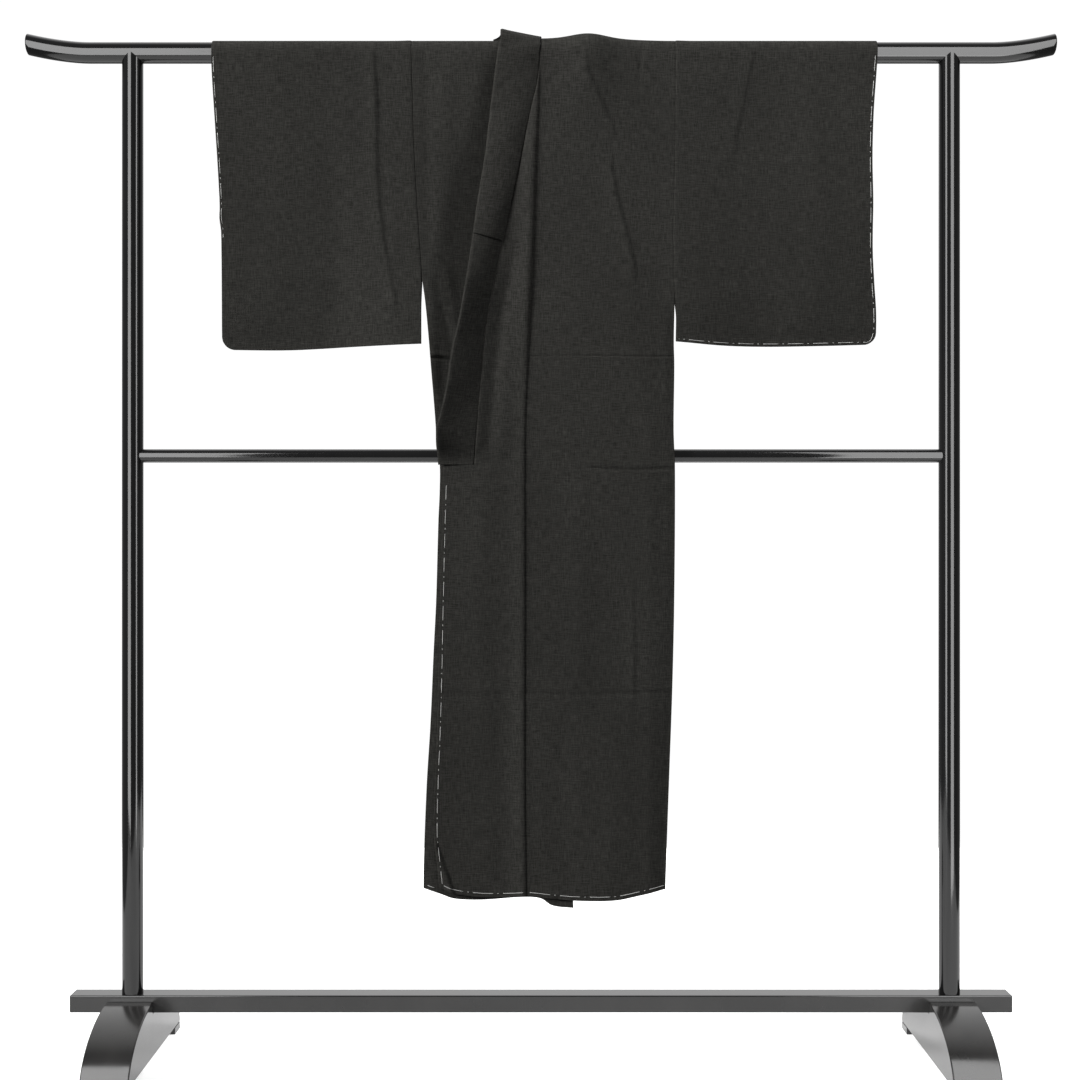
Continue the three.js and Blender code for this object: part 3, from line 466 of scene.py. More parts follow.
def shell(name, points, outward, cloth, keep=None, half=HALF_CLOTH):
    """A closed thin shell on a grid of middle points. cloth gives the (u, v) along the cloth."""
    rows, columns = points.shape[:2]
    if keep is None:
        keep = np.ones((rows - 1, columns - 1), bool)
    distance = rim_distance(points, keep)
    round_off = np.sqrt(np.clip(1 - (1 - np.minimum(distance / half, 1)) ** 2, 0.01, 1))
    offset = surface_normals(points) * outward * (half * round_off)[..., None]
    number = np.arange(rows * columns).reshape(rows, columns)
    base = rows * columns
    i, j = np.nonzero(keep)
    corners = [number[i, j], number[i, j + 1], number[i + 1, j + 1], number[i + 1, j]]
    front = np.stack(corners, 1)
    back = np.stack([corners[0], corners[3], corners[2], corners[1]], 1) + base
    filled = np.pad(keep, 1)
    sides = []
    for a, b, di, dj in ((0, 1, -1, 0), (1, 2, 0, 1), (2, 3, 1, 0), (3, 0, 0, -1)):
        bare = ~filled[i + 1 + di, j + 1 + dj]
        start, end = corners[a][bare], corners[b][bare]
        sides.append(np.stack([start, start + base, end + base, end], 1))
    faces = np.concatenate([front, back, *sides])[:, ::outward]  # outward is 1 or -1
    vertices = np.concatenate([(points + offset).reshape(-1, 3), (points - offset).reshape(-1, 3)])
    lengths = np.concatenate([cloth.reshape(-1, 2)] * 2)
    used, renumbered = np.unique(faces, return_inverse=True)
    return mesh_object(name, vertices[used] * MM, renumbered.reshape(faces.shape), lengths[used] * MM)


def mesh_object(name, vertices, faces, cloth=None):
    """A smooth mesh in metres, with its lengths along the cloth where it is cloth."""
    mesh = bpy.data.meshes.new(name)
    faces = faces.tolist() if isinstance(faces, np.ndarray) else faces
    mesh.from_pydata(np.asarray(vertices).tolist(), [], faces)
    mesh.polygons.foreach_set("use_smooth", np.ones(len(mesh.polygons), bool))
    if cloth is not None:
        layer = mesh.attributes.new("cloth", "FLOAT_VECTOR", "POINT")
        flat = np.concatenate([cloth, np.zeros((len(cloth), 1))], 1)
        layer.data.foreach_set("vector", flat.astype(np.float32).ravel())
    mesh.update()
    made = bpy.data.objects.new(name, mesh)
    bpy.context.scene.collection.objects.link(made)
    return made


def drop_rows(front_shares, back_shares, over_steps=14):
    """Rows of a strip from its front hem over the bar to its back hem: (part, share, angle)."""
    rows = [("front", share, 0.0) for share in front_shares]
    rows += [("over", 1.0, angle) for angle in np.linspace(0, math.pi, over_steps + 1)[1:-1]]
    rows += [("back", share, math.pi) for share in sorted(back_shares, reverse=True)]
    return [np.array(column)[:, None] for column in zip(*rows)]


def by_part(part, front, back, over=0):
    """Chooses for each row by the part of the strip it lies on."""
    return np.where(part == "front", front, np.where(part == "back", back, over))


def strip_points(part, angle, x, z, level, side):
    """Points of a strip at a level above its innermost layer."""
    radius = ROLL + level
    over_y = -radius * np.cos(angle)
    over_z = BAR_HEIGHT + radius * np.sin(angle)
    y = by_part(part, front_y(x, z, level, side), back_y(x, z, level, side), over_y)
    return np.stack([x, y, by_part(part, z, z, over_z)], 2)


def strip_cloth(part, angle, x, z):
    """Lengths along the cloth: u across, v along from the front hem to the back hem."""
    over = BAR_HEIGHT + ROLL * (angle + 0 * x)
    back = BAR_HEIGHT + ROLL * math.pi + (BAR_HEIGHT - z)
    return np.stack([x, by_part(part, z, back, over)], 2)


def raise_by(points, outward, relief):
    """Moves the points out along the surface by the relief, in millimetres."""
    return points + surface_normals(points) * outward * relief[..., None]


# ---- body panels

FRONT_LENGTH = BAR_HEIGHT - FRONT_HEM


def front_shares(*heights):
    return [(z - FRONT_HEM) / FRONT_LENGTH for z in heights]


TUCK_ROWS = front_shares(*np.arange(1184, 1204, 1.0))
PRESSED_ROWS = front_shares(*np.arange(994, 1014, 2), *np.arange(618, 640, 2.2))
NECK_SHARE = (NECKLINE - BACK_HEM) / (BAR_HEIGHT - BACK_HEM)
NECK_ROWS = [NECK_SHARE - step for step in (0, 0.0003, 0.0012)]
BODY_ROWS = drop_rows(
    spread_from_hem(190, FRONT_LENGTH, TUCK_ROWS + PRESSED_ROWS),
    [*spread_from_hem(170, FRONT_LENGTH, TUCK_ROWS), *NECK_ROWS],
)


def low_edge(part, front_low):
    return lambda x: np.where(part == "back", back_hem(x), front_low(x))


def below_neckline(part, share):
    """The rows of cells of a body panel that lie on the back, below the neckline."""
    below = (part == "back") & (share[:, :1] <= NECK_SHARE + 1e-9)
    return np.arange(len(part) - 1)[:, None] >= np.argmax(below)


def body_left():
    part, share, angle = BODY_ROWS
    across = spread(84, 250)
    pleat = spread(16, 87)[:-1]
    number = np.arange(len(pleat) + len(across))[None, :]
    in_pleat = number < len(pleat)
    fraction = np.concatenate([pleat, across])[None, :]
    share = share + 0 * fraction

    def place_x(z):
        start = np.where(part == "front", okumi_seam(z), NECK_POINT) + FIT
        from_x = np.where(in_pleat, CENTRE_BACK, start)
        to_x = np.where(in_pleat, start, left_side(z))
        return mix(from_x, to_x, fraction)

    x, z = settle(share, low_edge(part, upper_hem), BAR_HEIGHT, place_x)
    front_level = upper_level(x, z)
    pleat_level = 2 * LAYER * (1 - ramp(2, 34, x))
    shoulder = upper_level(x, BAR_HEIGHT) * ramp(1560, 1690, z)
    apart = pleat_level - shoulder
    back_level = (pleat_level + shoulder + np.sqrt(apart ** 2 + 0.6)) / 2
    level = np.where(part == "back", back_level, front_level) + WALL / 2
    points = strip_points(part, angle, x, z, level, 1)
    near_side = left_side(z) - x
    tuck = waist_tuck(x, z) * ramp(0, 6, near_side) * mix(0.2, 0.4, ramp(40, 110, x))
    front = total(LEFT_FRONT_CREASES, x, z) + tuck
    front = np.maximum(front, np.where(near_side < 20, -0.5, -2.0))
    front = front + 1.1 * bell((x - okumi_seam(z) + 3) / 9)
    back = total(BACK_CREASES, x, z) * ramp(0, 24, near_side)
    back = np.maximum(back, -1.6)
    armhole = np.where(z > LEFT_ARMHOLE, turned(near_side, 0.5), 0)
    points = raise_by(points, 1, by_part(part, front, back) + armhole)
    keep = (number[:, :-1] >= len(pleat)) | below_neckline(part, share)
    return shell("kimono_left_panel", points, 1, strip_cloth(part, angle, x, z), keep)


def body_right():
    part, share, angle = BODY_ROWS
    across = spread(46, 230)
    turn_angles = np.linspace(0, math.pi, 7)[1:]
    returns = spread(14, 84)[1:]
    fold_x = NECK_POINT - FIT - LAYER
    count = [len(across), len(turn_angles), len(returns)]
    number = np.arange(sum(count))[None, :]
    main = number < count[0]
    turning = (number >= count[0]) & (number < count[0] + count[1])
    fraction = np.concatenate([across, 0 * turn_angles, returns])[None, :]
    bend = np.concatenate([0 * across, turn_angles, 0 * returns])[None, :]
    share = share + 0 * fraction

    def place_x(z):
        end = np.where(part == "front", under_seam(z), fold_x)
        flat = mix(right_side(z), end, fraction)
        turned_x = fold_x + LAYER / 2 * np.sin(bend)
        return np.where(main, flat, np.where(turning, turned_x, mix(fold_x, CENTRE_BACK, fraction)))

    x, z = settle(share, low_edge(part, under_hem), BAR_HEIGHT, place_x)
    hollow = np.where(part == "front", under_hollow(x, z), 0)
    centre = (WALL + LAYER) / 2
    turn_level = centre - LAYER / 2 * np.cos(bend)
    level = np.where(main, WALL / 2 + hollow, np.where(turning, turn_level, LAYER + WALL / 2))
    points = strip_points(part, angle, x, z, level, -1)
    near_side = x - right_side(z)
    front = total(UNDER_FRONT_CREASES, x, z) * ramp(-86, -110, x)
    back = np.where(main, total(BACK_CREASES, x, z) * ramp(0, 24, near_side) * ramp(-60, -90, x), 0)
    back = np.maximum(back, -1.2)
    armhole = np.where((z > RIGHT_ARMHOLE) & main, turned(near_side, 0.5), 0)
    relief = by_part(part, front, back) + armhole
    points = raise_by(points, 1, np.where(main, relief, 0))
    keep = (number[:, :-1] < count[0] - 1) | below_neckline(part, share)
    along_cloth = np.where(main, x, np.where(turning, fold_x + LAYER * bend / 2, 2 * fold_x - x))
    cloth = strip_cloth(part, angle, along_cloth, z)
    return shell("kimono_right_panel", points, 1, cloth, keep)


# ---- overlap panels


def okumi(name, low_line, seam, collar_line, low, level_at, relief_at):
    """An overlap panel: a free edge below the end of the collar, the collar's seam above it."""
    below = spread(130, 720)
    beside = spread(110, KENSAKI - COLLAR_END)[1:]
    rows = len(below) + len(beside)
    is_below = (np.arange(rows) < len(below))[:, None]
    share = np.concatenate([below, beside])[:, None]
    step = spread(26, 62)[:-1]
    across = spread(40, 88)
    in_step = (np.arange(len(step) + len(across)) < len(step))[None, :]
    fraction = np.concatenate([step, across])[None, :]
    share = share + 0 * fraction
    cut = collar_line(COLLAR_END)

    def place_x(z):
        border = np.where(z > COLLAR_END, collar_line(z), cut)
        return np.where(in_step, mix(low_line(z), cut, fraction), mix(border, seam(z), fraction))

    x_low, z_low = settle(share, low, COLLAR_END, place_x)
    x_high, z_high = settle(share, lambda x: COLLAR_END + 0 * x, KENSAKI, place_x)
    x = np.where(is_below, x_low, x_high)
    z = np.where(is_below, z_low, z_high)
    level = level_at(x, z) + WALL / 2
    points = np.stack([x, front_y(x, z, level), z], 2)
    outward = 1 if seam(900) > low_line(900) else -1
    points = raise_by(points, outward, relief_at(x, z))
    keep = ~in_step[:, :-1] | (np.arange(rows - 1) < len(below) - 1)[:, None]
    return shell(name, points, outward, np.stack([x, z], 2), keep)


def okumi_left():
    def relief(x, z):
        own = total(OKUMI_CREASES, x, z) + 0 * x
        collar_side = np.where(z > COLLAR_END, turned(x - collar_seam(z) - FIT), 0)
        from_seam = okumi_seam(z) + SEAM_LAP - x
        pressed_over = 3.7 * bell(from_seam / 18) + turned(from_seam, 2.3, 6)
        return np.maximum(own, -2.0) + collar_side + pressed_over

    return okumi(
        "kimono_left_overlap", okumi_edge, lambda z: okumi_seam(z) + SEAM_LAP,
        lambda z: collar_seam(z) + FIT, upper_hem,
        lambda x, z: upper_level(x, z) + okumi_roll(x, z), relief,
    )


def okumi_right():
    return okumi(
        "kimono_right_overlap", under_edge, lambda z: under_seam(z) + FIT,
        lambda z: under_collar_seam(z) - FIT, under_okumi_hem,
        lambda x, z: 0 * x, lambda x, z: 0 * x,
    )


# ---- collar

# The band over the bar and round to the centre back: seam point and free edge point, in order.
NECK_BAND = [
    ((0.8, 2, 1737.5), (-67.5, 0, 1750.5)),
    ((-0.4, 15, 1733), (-68, 9, 1751)),
    ((-6, 24, 1718), (-69, 16, 1750)),
    ((-18, 27.5, 1703), (-71, 20.5, 1748.5)),
    ((-46, 28, 1694), (-75, 24.5, 1746.5)),
    ((-84, 28, 1692), (-82, 27, 1744)),
]
COLLAR_COLUMNS = spread(16, 62)


def stand_off(z):
    """The free edge stands off the front, most where the fronts are drawn together."""
    return 3 + ramp(1012, 1075, z) * (6.0 + 13.5 * ramp(1520, 1290, z))


def band_fall(z, across):
    """How the band falls from 1 at its free edge to 0 at its seam: evenly in its lower half."""
    return mix(1 - across ** 2.6, 1 - across ** 1.05, ramp(1420, 1280, z))


def band_front(z, across, lift):
    """Points across the band in front: across goes from 0 at the free edge to 1 at the seam."""
    x = mix(collar_edge(z), collar_seam(z) - FIT, across)
    stand = stand_off(z) * band_fall(z, across) + collar_seat(z)
    return np.stack([x, front_y(x, z, UPPER_FRONT + stand + lift), z + 0 * x], -1)


def band_over(turn, across, lift):
    """Points across the band over the bar: turn goes from 0 in front of it to 1 above it."""
    x = mix(collar_edge(BAR_HEIGHT + 19), NECK_POINT - FIT, across)
    stand = mix(stand_off(BAR_HEIGHT), 16, turn) * (1 - across) ** 1.4
    radius = ROLL + UPPER_FRONT + stand + lift
    angle = turn * math.pi / 2
    return np.stack([x, -radius * np.cos(angle), BAR_HEIGHT + radius * np.sin(angle)], -1)


def band_neck(seam, free, across, lift):
    seam, free = np.array([seam, free], float)
    outward = np.array([0, seam[1], max(0.0, seam[2] - BAR_HEIGHT)])
    outward = outward / np.linalg.norm(outward)
    return mix(free, seam, across[:, None]) + outward * lift


def through(rows, steps):
    """Rows of points placed evenly on a smooth curve through the given rows."""
    rows = np.array(rows)
    padded = np.concatenate([2 * rows[:1] - rows[1:2], rows, 2 * rows[-1:] - rows[-2:-1]])
    made = []
    for i in range(len(rows) - 1):
        a, b, c, d = padded[i:i + 4]
        for t in np.arange(steps) / steps:
            bend = (2 * a - 5 * b + 4 * c - d) * t * t + (3 * b - a - 3 * c + d) * t ** 3
            made.append(b + ((c - a) * t + bend) / 2)
    made.append(rows[-1])
    return np.array(made)


def band_grid(heights, across, lift, slant=0.0):
    """The collar from a list of heights in front, over the bar and round to the centre back."""
    front = [band_front(z - slant * max(0.0, 1 - i / 8) * across, across, lift)
             for i, z in enumerate(heights)]
    bend = [band_front(BAR_HEIGHT + 0 * across, across, lift)]
    bend += [band_over(turn, across, lift) for turn in (0.25, 0.5, 0.75)]
    bend += [band_neck(seam, free, across, lift) for seam, free in NECK_BAND]
    rest = through(bend, 8)[1:]
    end = rest[-1] + np.array([RIM[3], 0, 0])
    closing = [mix(end, rest[-1], t) for t in (0.6, 0.9)]
    return np.concatenate([np.array(front), rest[:-1], np.array(closing), rest[-1:]])


def across_from_free_edge(points):
    width = np.linalg.norm(np.diff(points, axis=1), axis=2)
    return np.concatenate([np.zeros((len(points), 1)), np.cumsum(width, axis=1)], 1)


def band_cloth(points, heights):
    """v runs along the collar, u across it, so that the weft crosses the collar."""
    middle = points[:, points.shape[1] // 2]
    along = np.concatenate([[0], np.cumsum(np.linalg.norm(np.diff(middle, axis=0), axis=1))])
    across = across_from_free_edge(points)
    return np.stack([across, along[:, None] + 0 * across + heights[0]], 2)


def collar_relief(points):
    """Uneven soft waves of the collar, the same for the band and the over-collar."""
    z = points[..., 2]
    x = points[..., 0]
    edge = np.clip((x - collar_edge(z)) / 60, 0, 1)
    wave = 1.1 * np.sin(z / 47 + 0.6) + 0.7 * np.sin(z / 21 + 2.0)
    front = points[..., 1] < -10
    waves = np.where(front, wave * (1 - edge) * edge * 3 * ramp(1700, 1640, z), 0)
    rolled = turned(across_from_free_edge(points), 1.7, 3.6)
    return waves + rolled


def collar_layer(name, low, rows, lift, slant=0.0, half=HALF_CLOTH):
    """A layer of the upper collar from a low end in front round to the centre back."""
    length = BAR_HEIGHT - low
    heights = low + length * spread_from_hem(rows, round(length))
    points = band_grid(heights, COLLAR_COLUMNS, lift, slant)
    points = raise_by(points, 1, collar_relief(points))
    return shell(name, points, 1, band_cloth(points, heights), half=half)


def collar_left():
    return collar_layer("kimono_collar_band", COLLAR_END + 0.3, 130, WALL / 2)


def over_collar():
    lift = WALL + FIT + 0.9
    return collar_layer("kimono_over_collar", OVER_COLLAR_END, 70, lift, OVER_COLLAR_SLANT, 0.65)


def collar_right():
    """The under collar runs beneath the left front and over the bar, on the bar's curve."""
    across = COLLAR_COLUMNS[None, :]
    heights = COLLAR_END + (BAR_HEIGHT - COLLAR_END) * spread_from_hem(110, 702)
    angles = np.linspace(0, math.pi, 15)[1:-1]
    behind = NECKLINE + np.array([25, 17, 9, 4, 3.4, 3])
    part = np.repeat(["front", "over", "back"], [len(heights), len(angles), len(behind)])[:, None]
    z = np.concatenate([heights, BAR_HEIGHT + 0 * angles, behind])[:, None] + 0 * across
    angle = np.concatenate([0 * heights, angles, 0 * behind + math.pi])[:, None]
    x = mix(under_collar_seam(z) + FIT, under_collar_edge(z), across)
    level = shoulder_lift(x) * ramp(1560, BAR_HEIGHT, z) + 1.2
    points = strip_points(part, angle, x, z, level, 0)
    cloth = strip_cloth(part, angle, x, z)
    return shell("kimono_under_collar", points, 1, cloth, half=1.0)


# ---- sleeves

SLEEVE_LENGTH = BAR_HEIGHT - SLEEVE_BOTTOM


def sleeve(name, side, edges, ends, corner, creases):
    """edges: armhole, cuff and lower edge. ends: the heights where the armhole and the cuff end."""
    inner_edge, cuff, bottom = edges
    armhole_end, cuff_end = ends
    shares = spread_from_hem(76, SLEEVE_LENGTH, [0.012, 0.02, 0.03])
    part, share, angle = drop_rows(shares, shares)
    across = spread(116, 345)[None, :]
    share = share + 0 * across
    middle = mix(SLEEVE_BOTTOM, BAR_HEIGHT, share)
    free = np.maximum(0, corner - (middle - SLEEVE_BOTTOM))
    inset = corner - np.sqrt(corner ** 2 - free ** 2)
    start = inner_edge(middle)
    end = cuff(middle) - side * inset
    x = mix(start, end, across)
    z = mix(bottom(x), BAR_HEIGHT, share)
    from_armhole = np.abs(x - start)
    from_cuff = np.abs(end - x)
    near = 1 - ramp(0, ARMHOLE_BLEND, from_armhole)
    body_half = (front_depth(z) + back_depth(z)) / 2
    body_middle = (back_depth(z) - front_depth(z)) / 2
    bag_half = ROLL * share ** 0.9
    closing = np.maximum(
        (1 - ramp(0, 44, from_armhole)) * ramp(armhole_end, armhole_end - 60, z),
        (1 - ramp(0, 26, from_cuff)) * ramp(cuff_end, cuff_end - 45, z),
    )
    sewn = ramp(0, 0.08, share)
    open_half = mix(bag_half, body_half, near * ramp(0, 0.2, share)) * sewn
    half = open_half * (1 - closing) + FIT / 2
    drawn_forward = 0.85 * near * body_half * (1 - ramp(0, 0.2, share))
    centre = body_middle * near + mix(-3, 0, share) * (1 - near) - drawn_forward
    centre = centre - 0.85 * open_half * closing
    facing = np.where(part == "front", -1, 1)
    level = WALL / 2
    points = strip_points(part, angle, x, z, level + 0 * x, 0)
    points[..., 1] = np.where(part == "over", points[..., 1], centre + facing * (half + level))
    front, back = (total(rows, x, z) for rows in creases)
    room = ramp(0.4, 5, half) * (1 - closing)
    relief = by_part(part, front, back)
    relief = np.where(relief < 0, relief * room, relief * sewn * (1 - closing))
    pressed_over = (0.3 + 0.4 * (1 - bell(from_armhole / 2))) * bell(from_armhole / 18)
    relief = relief + np.where(z > armhole_end, pressed_over, turned(from_armhole, 0.2))
    points = raise_by(points, side, relief)
    return shell(name, points, side, strip_cloth(part, angle, x, z))


def lap(z, armhole_end):
    """How far a sleeve's edge stands off the side seam: where it is sewn it laps over the panel."""
    return mix(-SEAM_LAP, SEAM_RUN, ramp(armhole_end + 8, armhole_end + 2, z))


def left_armhole(z):
    return left_side(z) + lap(z, LEFT_ARMHOLE) + 2.6 * ramp(LEFT_ARMHOLE, LEFT_ARMHOLE - 40, z)


def right_armhole(z):
    side = np.minimum(right_side(z), np.where(z < RIGHT_ARMHOLE, -201.1, np.inf))
    return side - lap(z, RIGHT_ARMHOLE)


def sleeve_left():
    edges = (left_armhole, left_cuff, left_sleeve_bottom)
    creases = (LEFT_SLEEVE_CREASES, LEFT_SLEEVE_BACK_CREASES)
    return sleeve("kimono_left_sleeve", 1, edges, (LEFT_ARMHOLE, LEFT_CUFF_END), LEFT_CORNER, creases)


def sleeve_right():
    edges = (right_armhole, right_cuff, right_sleeve_bottom)
    creases = (RIGHT_SLEEVE_CREASES, RIGHT_SLEEVE_BACK_CREASES)
    return sleeve("kimono_right_sleeve", -1, edges, (RIGHT_ARMHOLE, RIGHT_CUFF_END), RIGHT_CORNER, creases)


# ---- basting stitches

THREAD_RADIUS = 0.35
THREAD_SIDES = 6
SHORT_STITCH = 2.5
STITCH_GAP = 7.0


def tube_faces(first, rings, sides):
    """Faces of a closed tube whose rings of points are numbered on from first."""
    faces = []
    for start in range(first, first + (rings - 1) * sides, sides):
        for k in range(sides):
            a = start + k
            b = start + (k + 1) % sides
            faces.append([a, b, b + sides, a + sides])
    last = first + (rings - 1) * sides
    return faces + [list(range(first, first + sides))[::-1], list(range(last, last + sides))]


def stitches(name, piece, line, long_stitch):
    """Running stitches on the front of a piece, along (x, z) points: a long one, then a short one."""
    line = np.array(line, float)
    length = np.concatenate([[0], np.cumsum(np.linalg.norm(np.diff(line, axis=0), axis=1))])
    mesh = piece.data
    tree = BVHTree.FromPolygons([v.co for v in mesh.vertices], [p.vertices for p in mesh.polygons])
    vertices, faces = [], []
    start = STITCH_GAP / 2
    this_stitch, next_stitch = long_stitch, SHORT_STITCH
    while start < length[-1] - 1:
        reach = min(start + this_stitch, length[-1])
        add_stitch(vertices, faces, tree, line, length, start, reach)
        start = reach + STITCH_GAP
        this_stitch, next_stitch = next_stitch, this_stitch
    thread = mesh_object(name, np.array(vertices), faces)
    thread.data.materials.append(THREAD)
    return thread


def add_stitch(vertices, faces, tree, line, length, start, end):
    """One stitch: a thread that comes out of the cloth, lies on it and goes back in."""
    count = max(4, int((end - start) / 2.0) + 2)
    route = []
    for i, place in enumerate(np.linspace(start, end, count)):
        x = np.interp(place, length, line[:, 0])
        z = np.interp(place, length, line[:, 1])
        hit, normal, _, _ = tree.ray_cast(Vector((x * MM, -0.3, z * MM)), Vector((0, 1, 0)))
        if hit is None:
            continue
        if normal.y > 0:
            normal = -normal
        lift = -0.5 if i in (0, count - 1) else 0.75
        route.append((hit + normal * (lift * THREAD_RADIUS * MM), normal))
    if len(route) < 3:
        return
    faces += tube_faces(len(vertices), len(route), THREAD_SIDES)
    for i, (point, normal) in enumerate(route):
        ahead = route[min(i + 1, len(route) - 1)][0] - route[max(i - 1, 0)][0]
        ahead.normalize()
        sideways_out = ahead.cross(normal).normalized()
        for k in range(THREAD_SIDES):
            turn = 2 * math.pi * k / THREAD_SIDES
            out = sideways_out * math.cos(turn) + normal * math.sin(turn)
            vertices.append(point + out * (THREAD_RADIUS * MM))


# ---- materials


def new_material(name):
    material = bpy.data.materials.new(name)
    material.use_nodes = True
    tree = material.node_tree
    return material, tree, tree.nodes["Principled BSDF"]


def feed(tree, node, inputs):
    """Sets the inputs of a node to values, or links them to the sockets given."""
    for key, value in inputs.items():
        if isinstance(value, bpy.types.NodeSocket):
            tree.links.new(value, node.inputs[key])
        else:
            node.inputs[key].default_value = value


def add(tree, kind, inputs, **settings):
    node = tree.nodes.new(kind)
    for key, value in settings.items():
        setattr(node, key, value)
    feed(tree, node, inputs)
    return node


def place_in(tree, system="Object"):
    return add(tree, "ShaderNodeTexCoord", {}).outputs[system]


def plus(tree, first, second):
    return add(tree, "ShaderNodeMath", {0: first, 1: second}, operation="ADD").outputs[0]


def times(tree, first, second, clamp=False):
    inputs = {0: first, 1: second}
    return add(tree, "ShaderNodeMath", inputs, operation="MULTIPLY", use_clamp=clamp).outputs[0]


def scaled(tree, vector, scale):
    return add(tree, "ShaderNodeMapping", {"Vector": vector, "Scale": scale}).outputs["Vector"]


def noise(tree, vector, scale, detail=2.0, roughness=0.5):
    inputs = {"Vector": scaled(tree, vector, scale), "Scale": 1.0, "Detail": detail, "Roughness": roughness}
    return add(tree, "ShaderNodeTexNoise", inputs).outputs["Fac"]


def bands(tree, vector, scale, axis):
    inputs = {"Vector": scaled(tree, vector, scale), "Scale": 1.0}
    wave = add(tree, "ShaderNodeTexWave", inputs, bands_direction=axis, wave_profile="SIN")
    return wave.outputs["Fac"]


def remap(tree, value, low, high, to_low, to_high):
    inputs = {"Value": value, "From Min": low, "From Max": high, "To Min": to_low, "To Max": to_high}
    return add(tree, "ShaderNodeMapRange", inputs).outputs["Result"]


def blend(tree, share, first, second):
    """A mix of two colours, each a colour or a socket."""
    node = add(tree, "ShaderNodeMix", {"Factor": share}, data_type="RGBA")
    sockets = [index for index, socket in enumerate(node.inputs) if socket.type == "RGBA"]
    feed(tree, node, dict(zip(sockets, (first, second))))
    return next(socket for socket in node.outputs if socket.type == "RGBA")


def two_tone(tree, value, dark, pale):
    node = add(tree, "ShaderNodeValToRGB", {"Fac": value})
    node.color_ramp.elements[0].color = dark
    node.color_ramp.elements[1].color = pale
    return node.outputs["Color"]


def bump(tree, height, strength, distance):
    inputs = {"Height": height, "Strength": strength, "Distance": distance}
    return add(tree, "ShaderNodeBump", inputs).outputs["Normal"]


def streaks(tree, cloth, across, along, low, high, top):
    """Thread irregularities: noise drawn out along the weft or the warp, as marks from 0 to top."""
    return remap(tree, noise(tree, cloth, (across, along, 1), 2.0, 0.55), low, high, 0.0, top)


def cloth_material():
    """Matte plain weave of slubby yarn: warp and weft both vary, so the cloth is finely hatched."""
    material, tree, shader = new_material("charcoal_slub_cloth")
    cloth = add(tree, "ShaderNodeAttribute", {}, attribute_name="cloth").outputs["Vector"]
    weft = streaks(tree, cloth, 60, 620, 0.36, 0.72, 0.62)
    warp = streaks(tree, cloth, 620, 52, 0.36, 0.72, 0.58)
    fine = streaks(tree, cloth, 520, 520, 0.35, 0.70, 0.36)
    slub = streaks(tree, cloth, 26, 900, 0.60, 0.76, 0.55)
    hatch = plus(tree, times(tree, weft, 0.55), times(tree, warp, 0.55))
    for marks in (fine, slub):
        hatch = plus(tree, hatch, times(tree, marks, 0.5))
    patches = noise(tree, cloth, (5, 3, 1), 3.0)
    share = times(tree, hatch, remap(tree, patches, 0.25, 0.75, 0.75, 1.25), clamp=True)
    threads = bands(tree, cloth, (1600, 0, 0), "X")
    picks = bands(tree, cloth, (0, 1500, 0), "Y")
    raised = plus(tree, times(tree, times(tree, threads, picks), 0.4), hatch)
    feed(tree, shader, {
        "Base Color": blend(tree, share, (0.0108, 0.0106, 0.0096, 1), (0.0610, 0.0596, 0.0546, 1)),
        "Normal": bump(tree, raised, 0.6, 0.0003),
        "Roughness": remap(tree, patches, 0.2, 0.8, 0.86, 0.97),
        "Specular IOR Level": 0.04,
        "Sheen Weight": 0.012,
        "Sheen Roughness": 0.5,
    })
    return material


def lacquer_material():
    """Deep black lacquer, glossy with faint scuffs; below about 11 cm its colour is a little lighter and it
    is less glossy.
    """
    material, tree, shader = new_material("black_lacquer")
    place = place_in(tree)
    haze = noise(tree, place, (14, 14, 5), 3.0)
    scuff = remap(tree, noise(tree, place, (260, 260, 70), 2.0), 0.6, 0.8, 0.0, 0.06)
    height = add(tree, "ShaderNodeSeparateXYZ", {"Vector": place}).outputs["Z"]
    base = remap(tree, height, 0.118, 0.110, 0.0, 1.0)
    clean = two_tone(tree, haze, (0.0030, 0.0030, 0.0034, 1), (0.0060, 0.0059, 0.0060, 1))
    rough = plus(tree, remap(tree, haze, 0.3, 0.7, 0.07, 0.12), scuff)
    feed(tree, shader, {
        "Base Color": blend(tree, times(tree, base, haze), clean, (0.027, 0.026, 0.025, 1)),
        "Normal": bump(tree, haze, 0.03, 0.002),
        "Roughness": plus(tree, rough, times(tree, base, 0.08)),
        "Specular IOR Level": 0.5,
    })
    return material


def thread_material():
    material, tree, shader = new_material("white_basting_thread")
    ply = noise(tree, place_in(tree), (2500, 2500, 2500), 2.0)
    feed(tree, shader, {
        "Base Color": two_tone(tree, ply, (0.48, 0.48, 0.47, 1), (0.72, 0.72, 0.70, 1)),
        "Normal": bump(tree, ply, 0.5, 0.0002),
        "Roughness": 0.85,
    })
    return material


def floor_material():
    material, tree, shader = new_material("pale_floor")
    haze = noise(tree, place_in(tree), (3, 3, 3), 3.0)
    feed(tree, shader, {
        "Base Color": two_tone(tree, haze, (0.50, 0.50, 0.50, 1), (0.54, 0.54, 0.54, 1)),
        "Roughness": 0.9,
        "Emission Color": (1, 1, 1, 1),
        "Emission Strength": 0.84,
    })
    return material


# ---- rack

ROUND_SIDES = 96
END_ROUND = 1.6


def tube(name, rings):
    """A closed tube through rings of points, its ends capped."""
    bar = mesh_object(name, np.concatenate(rings) * MM, tube_faces(0, len(rings), len(rings[0])))
    bar.data.set_sharp_from_angle(angle=math.radians(40))
    return bar


def circle(radius):
    turn = 2 * math.pi * np.arange(ROUND_SIDES) / ROUND_SIDES
    return radius * np.cos(turn), radius * np.sin(turn)


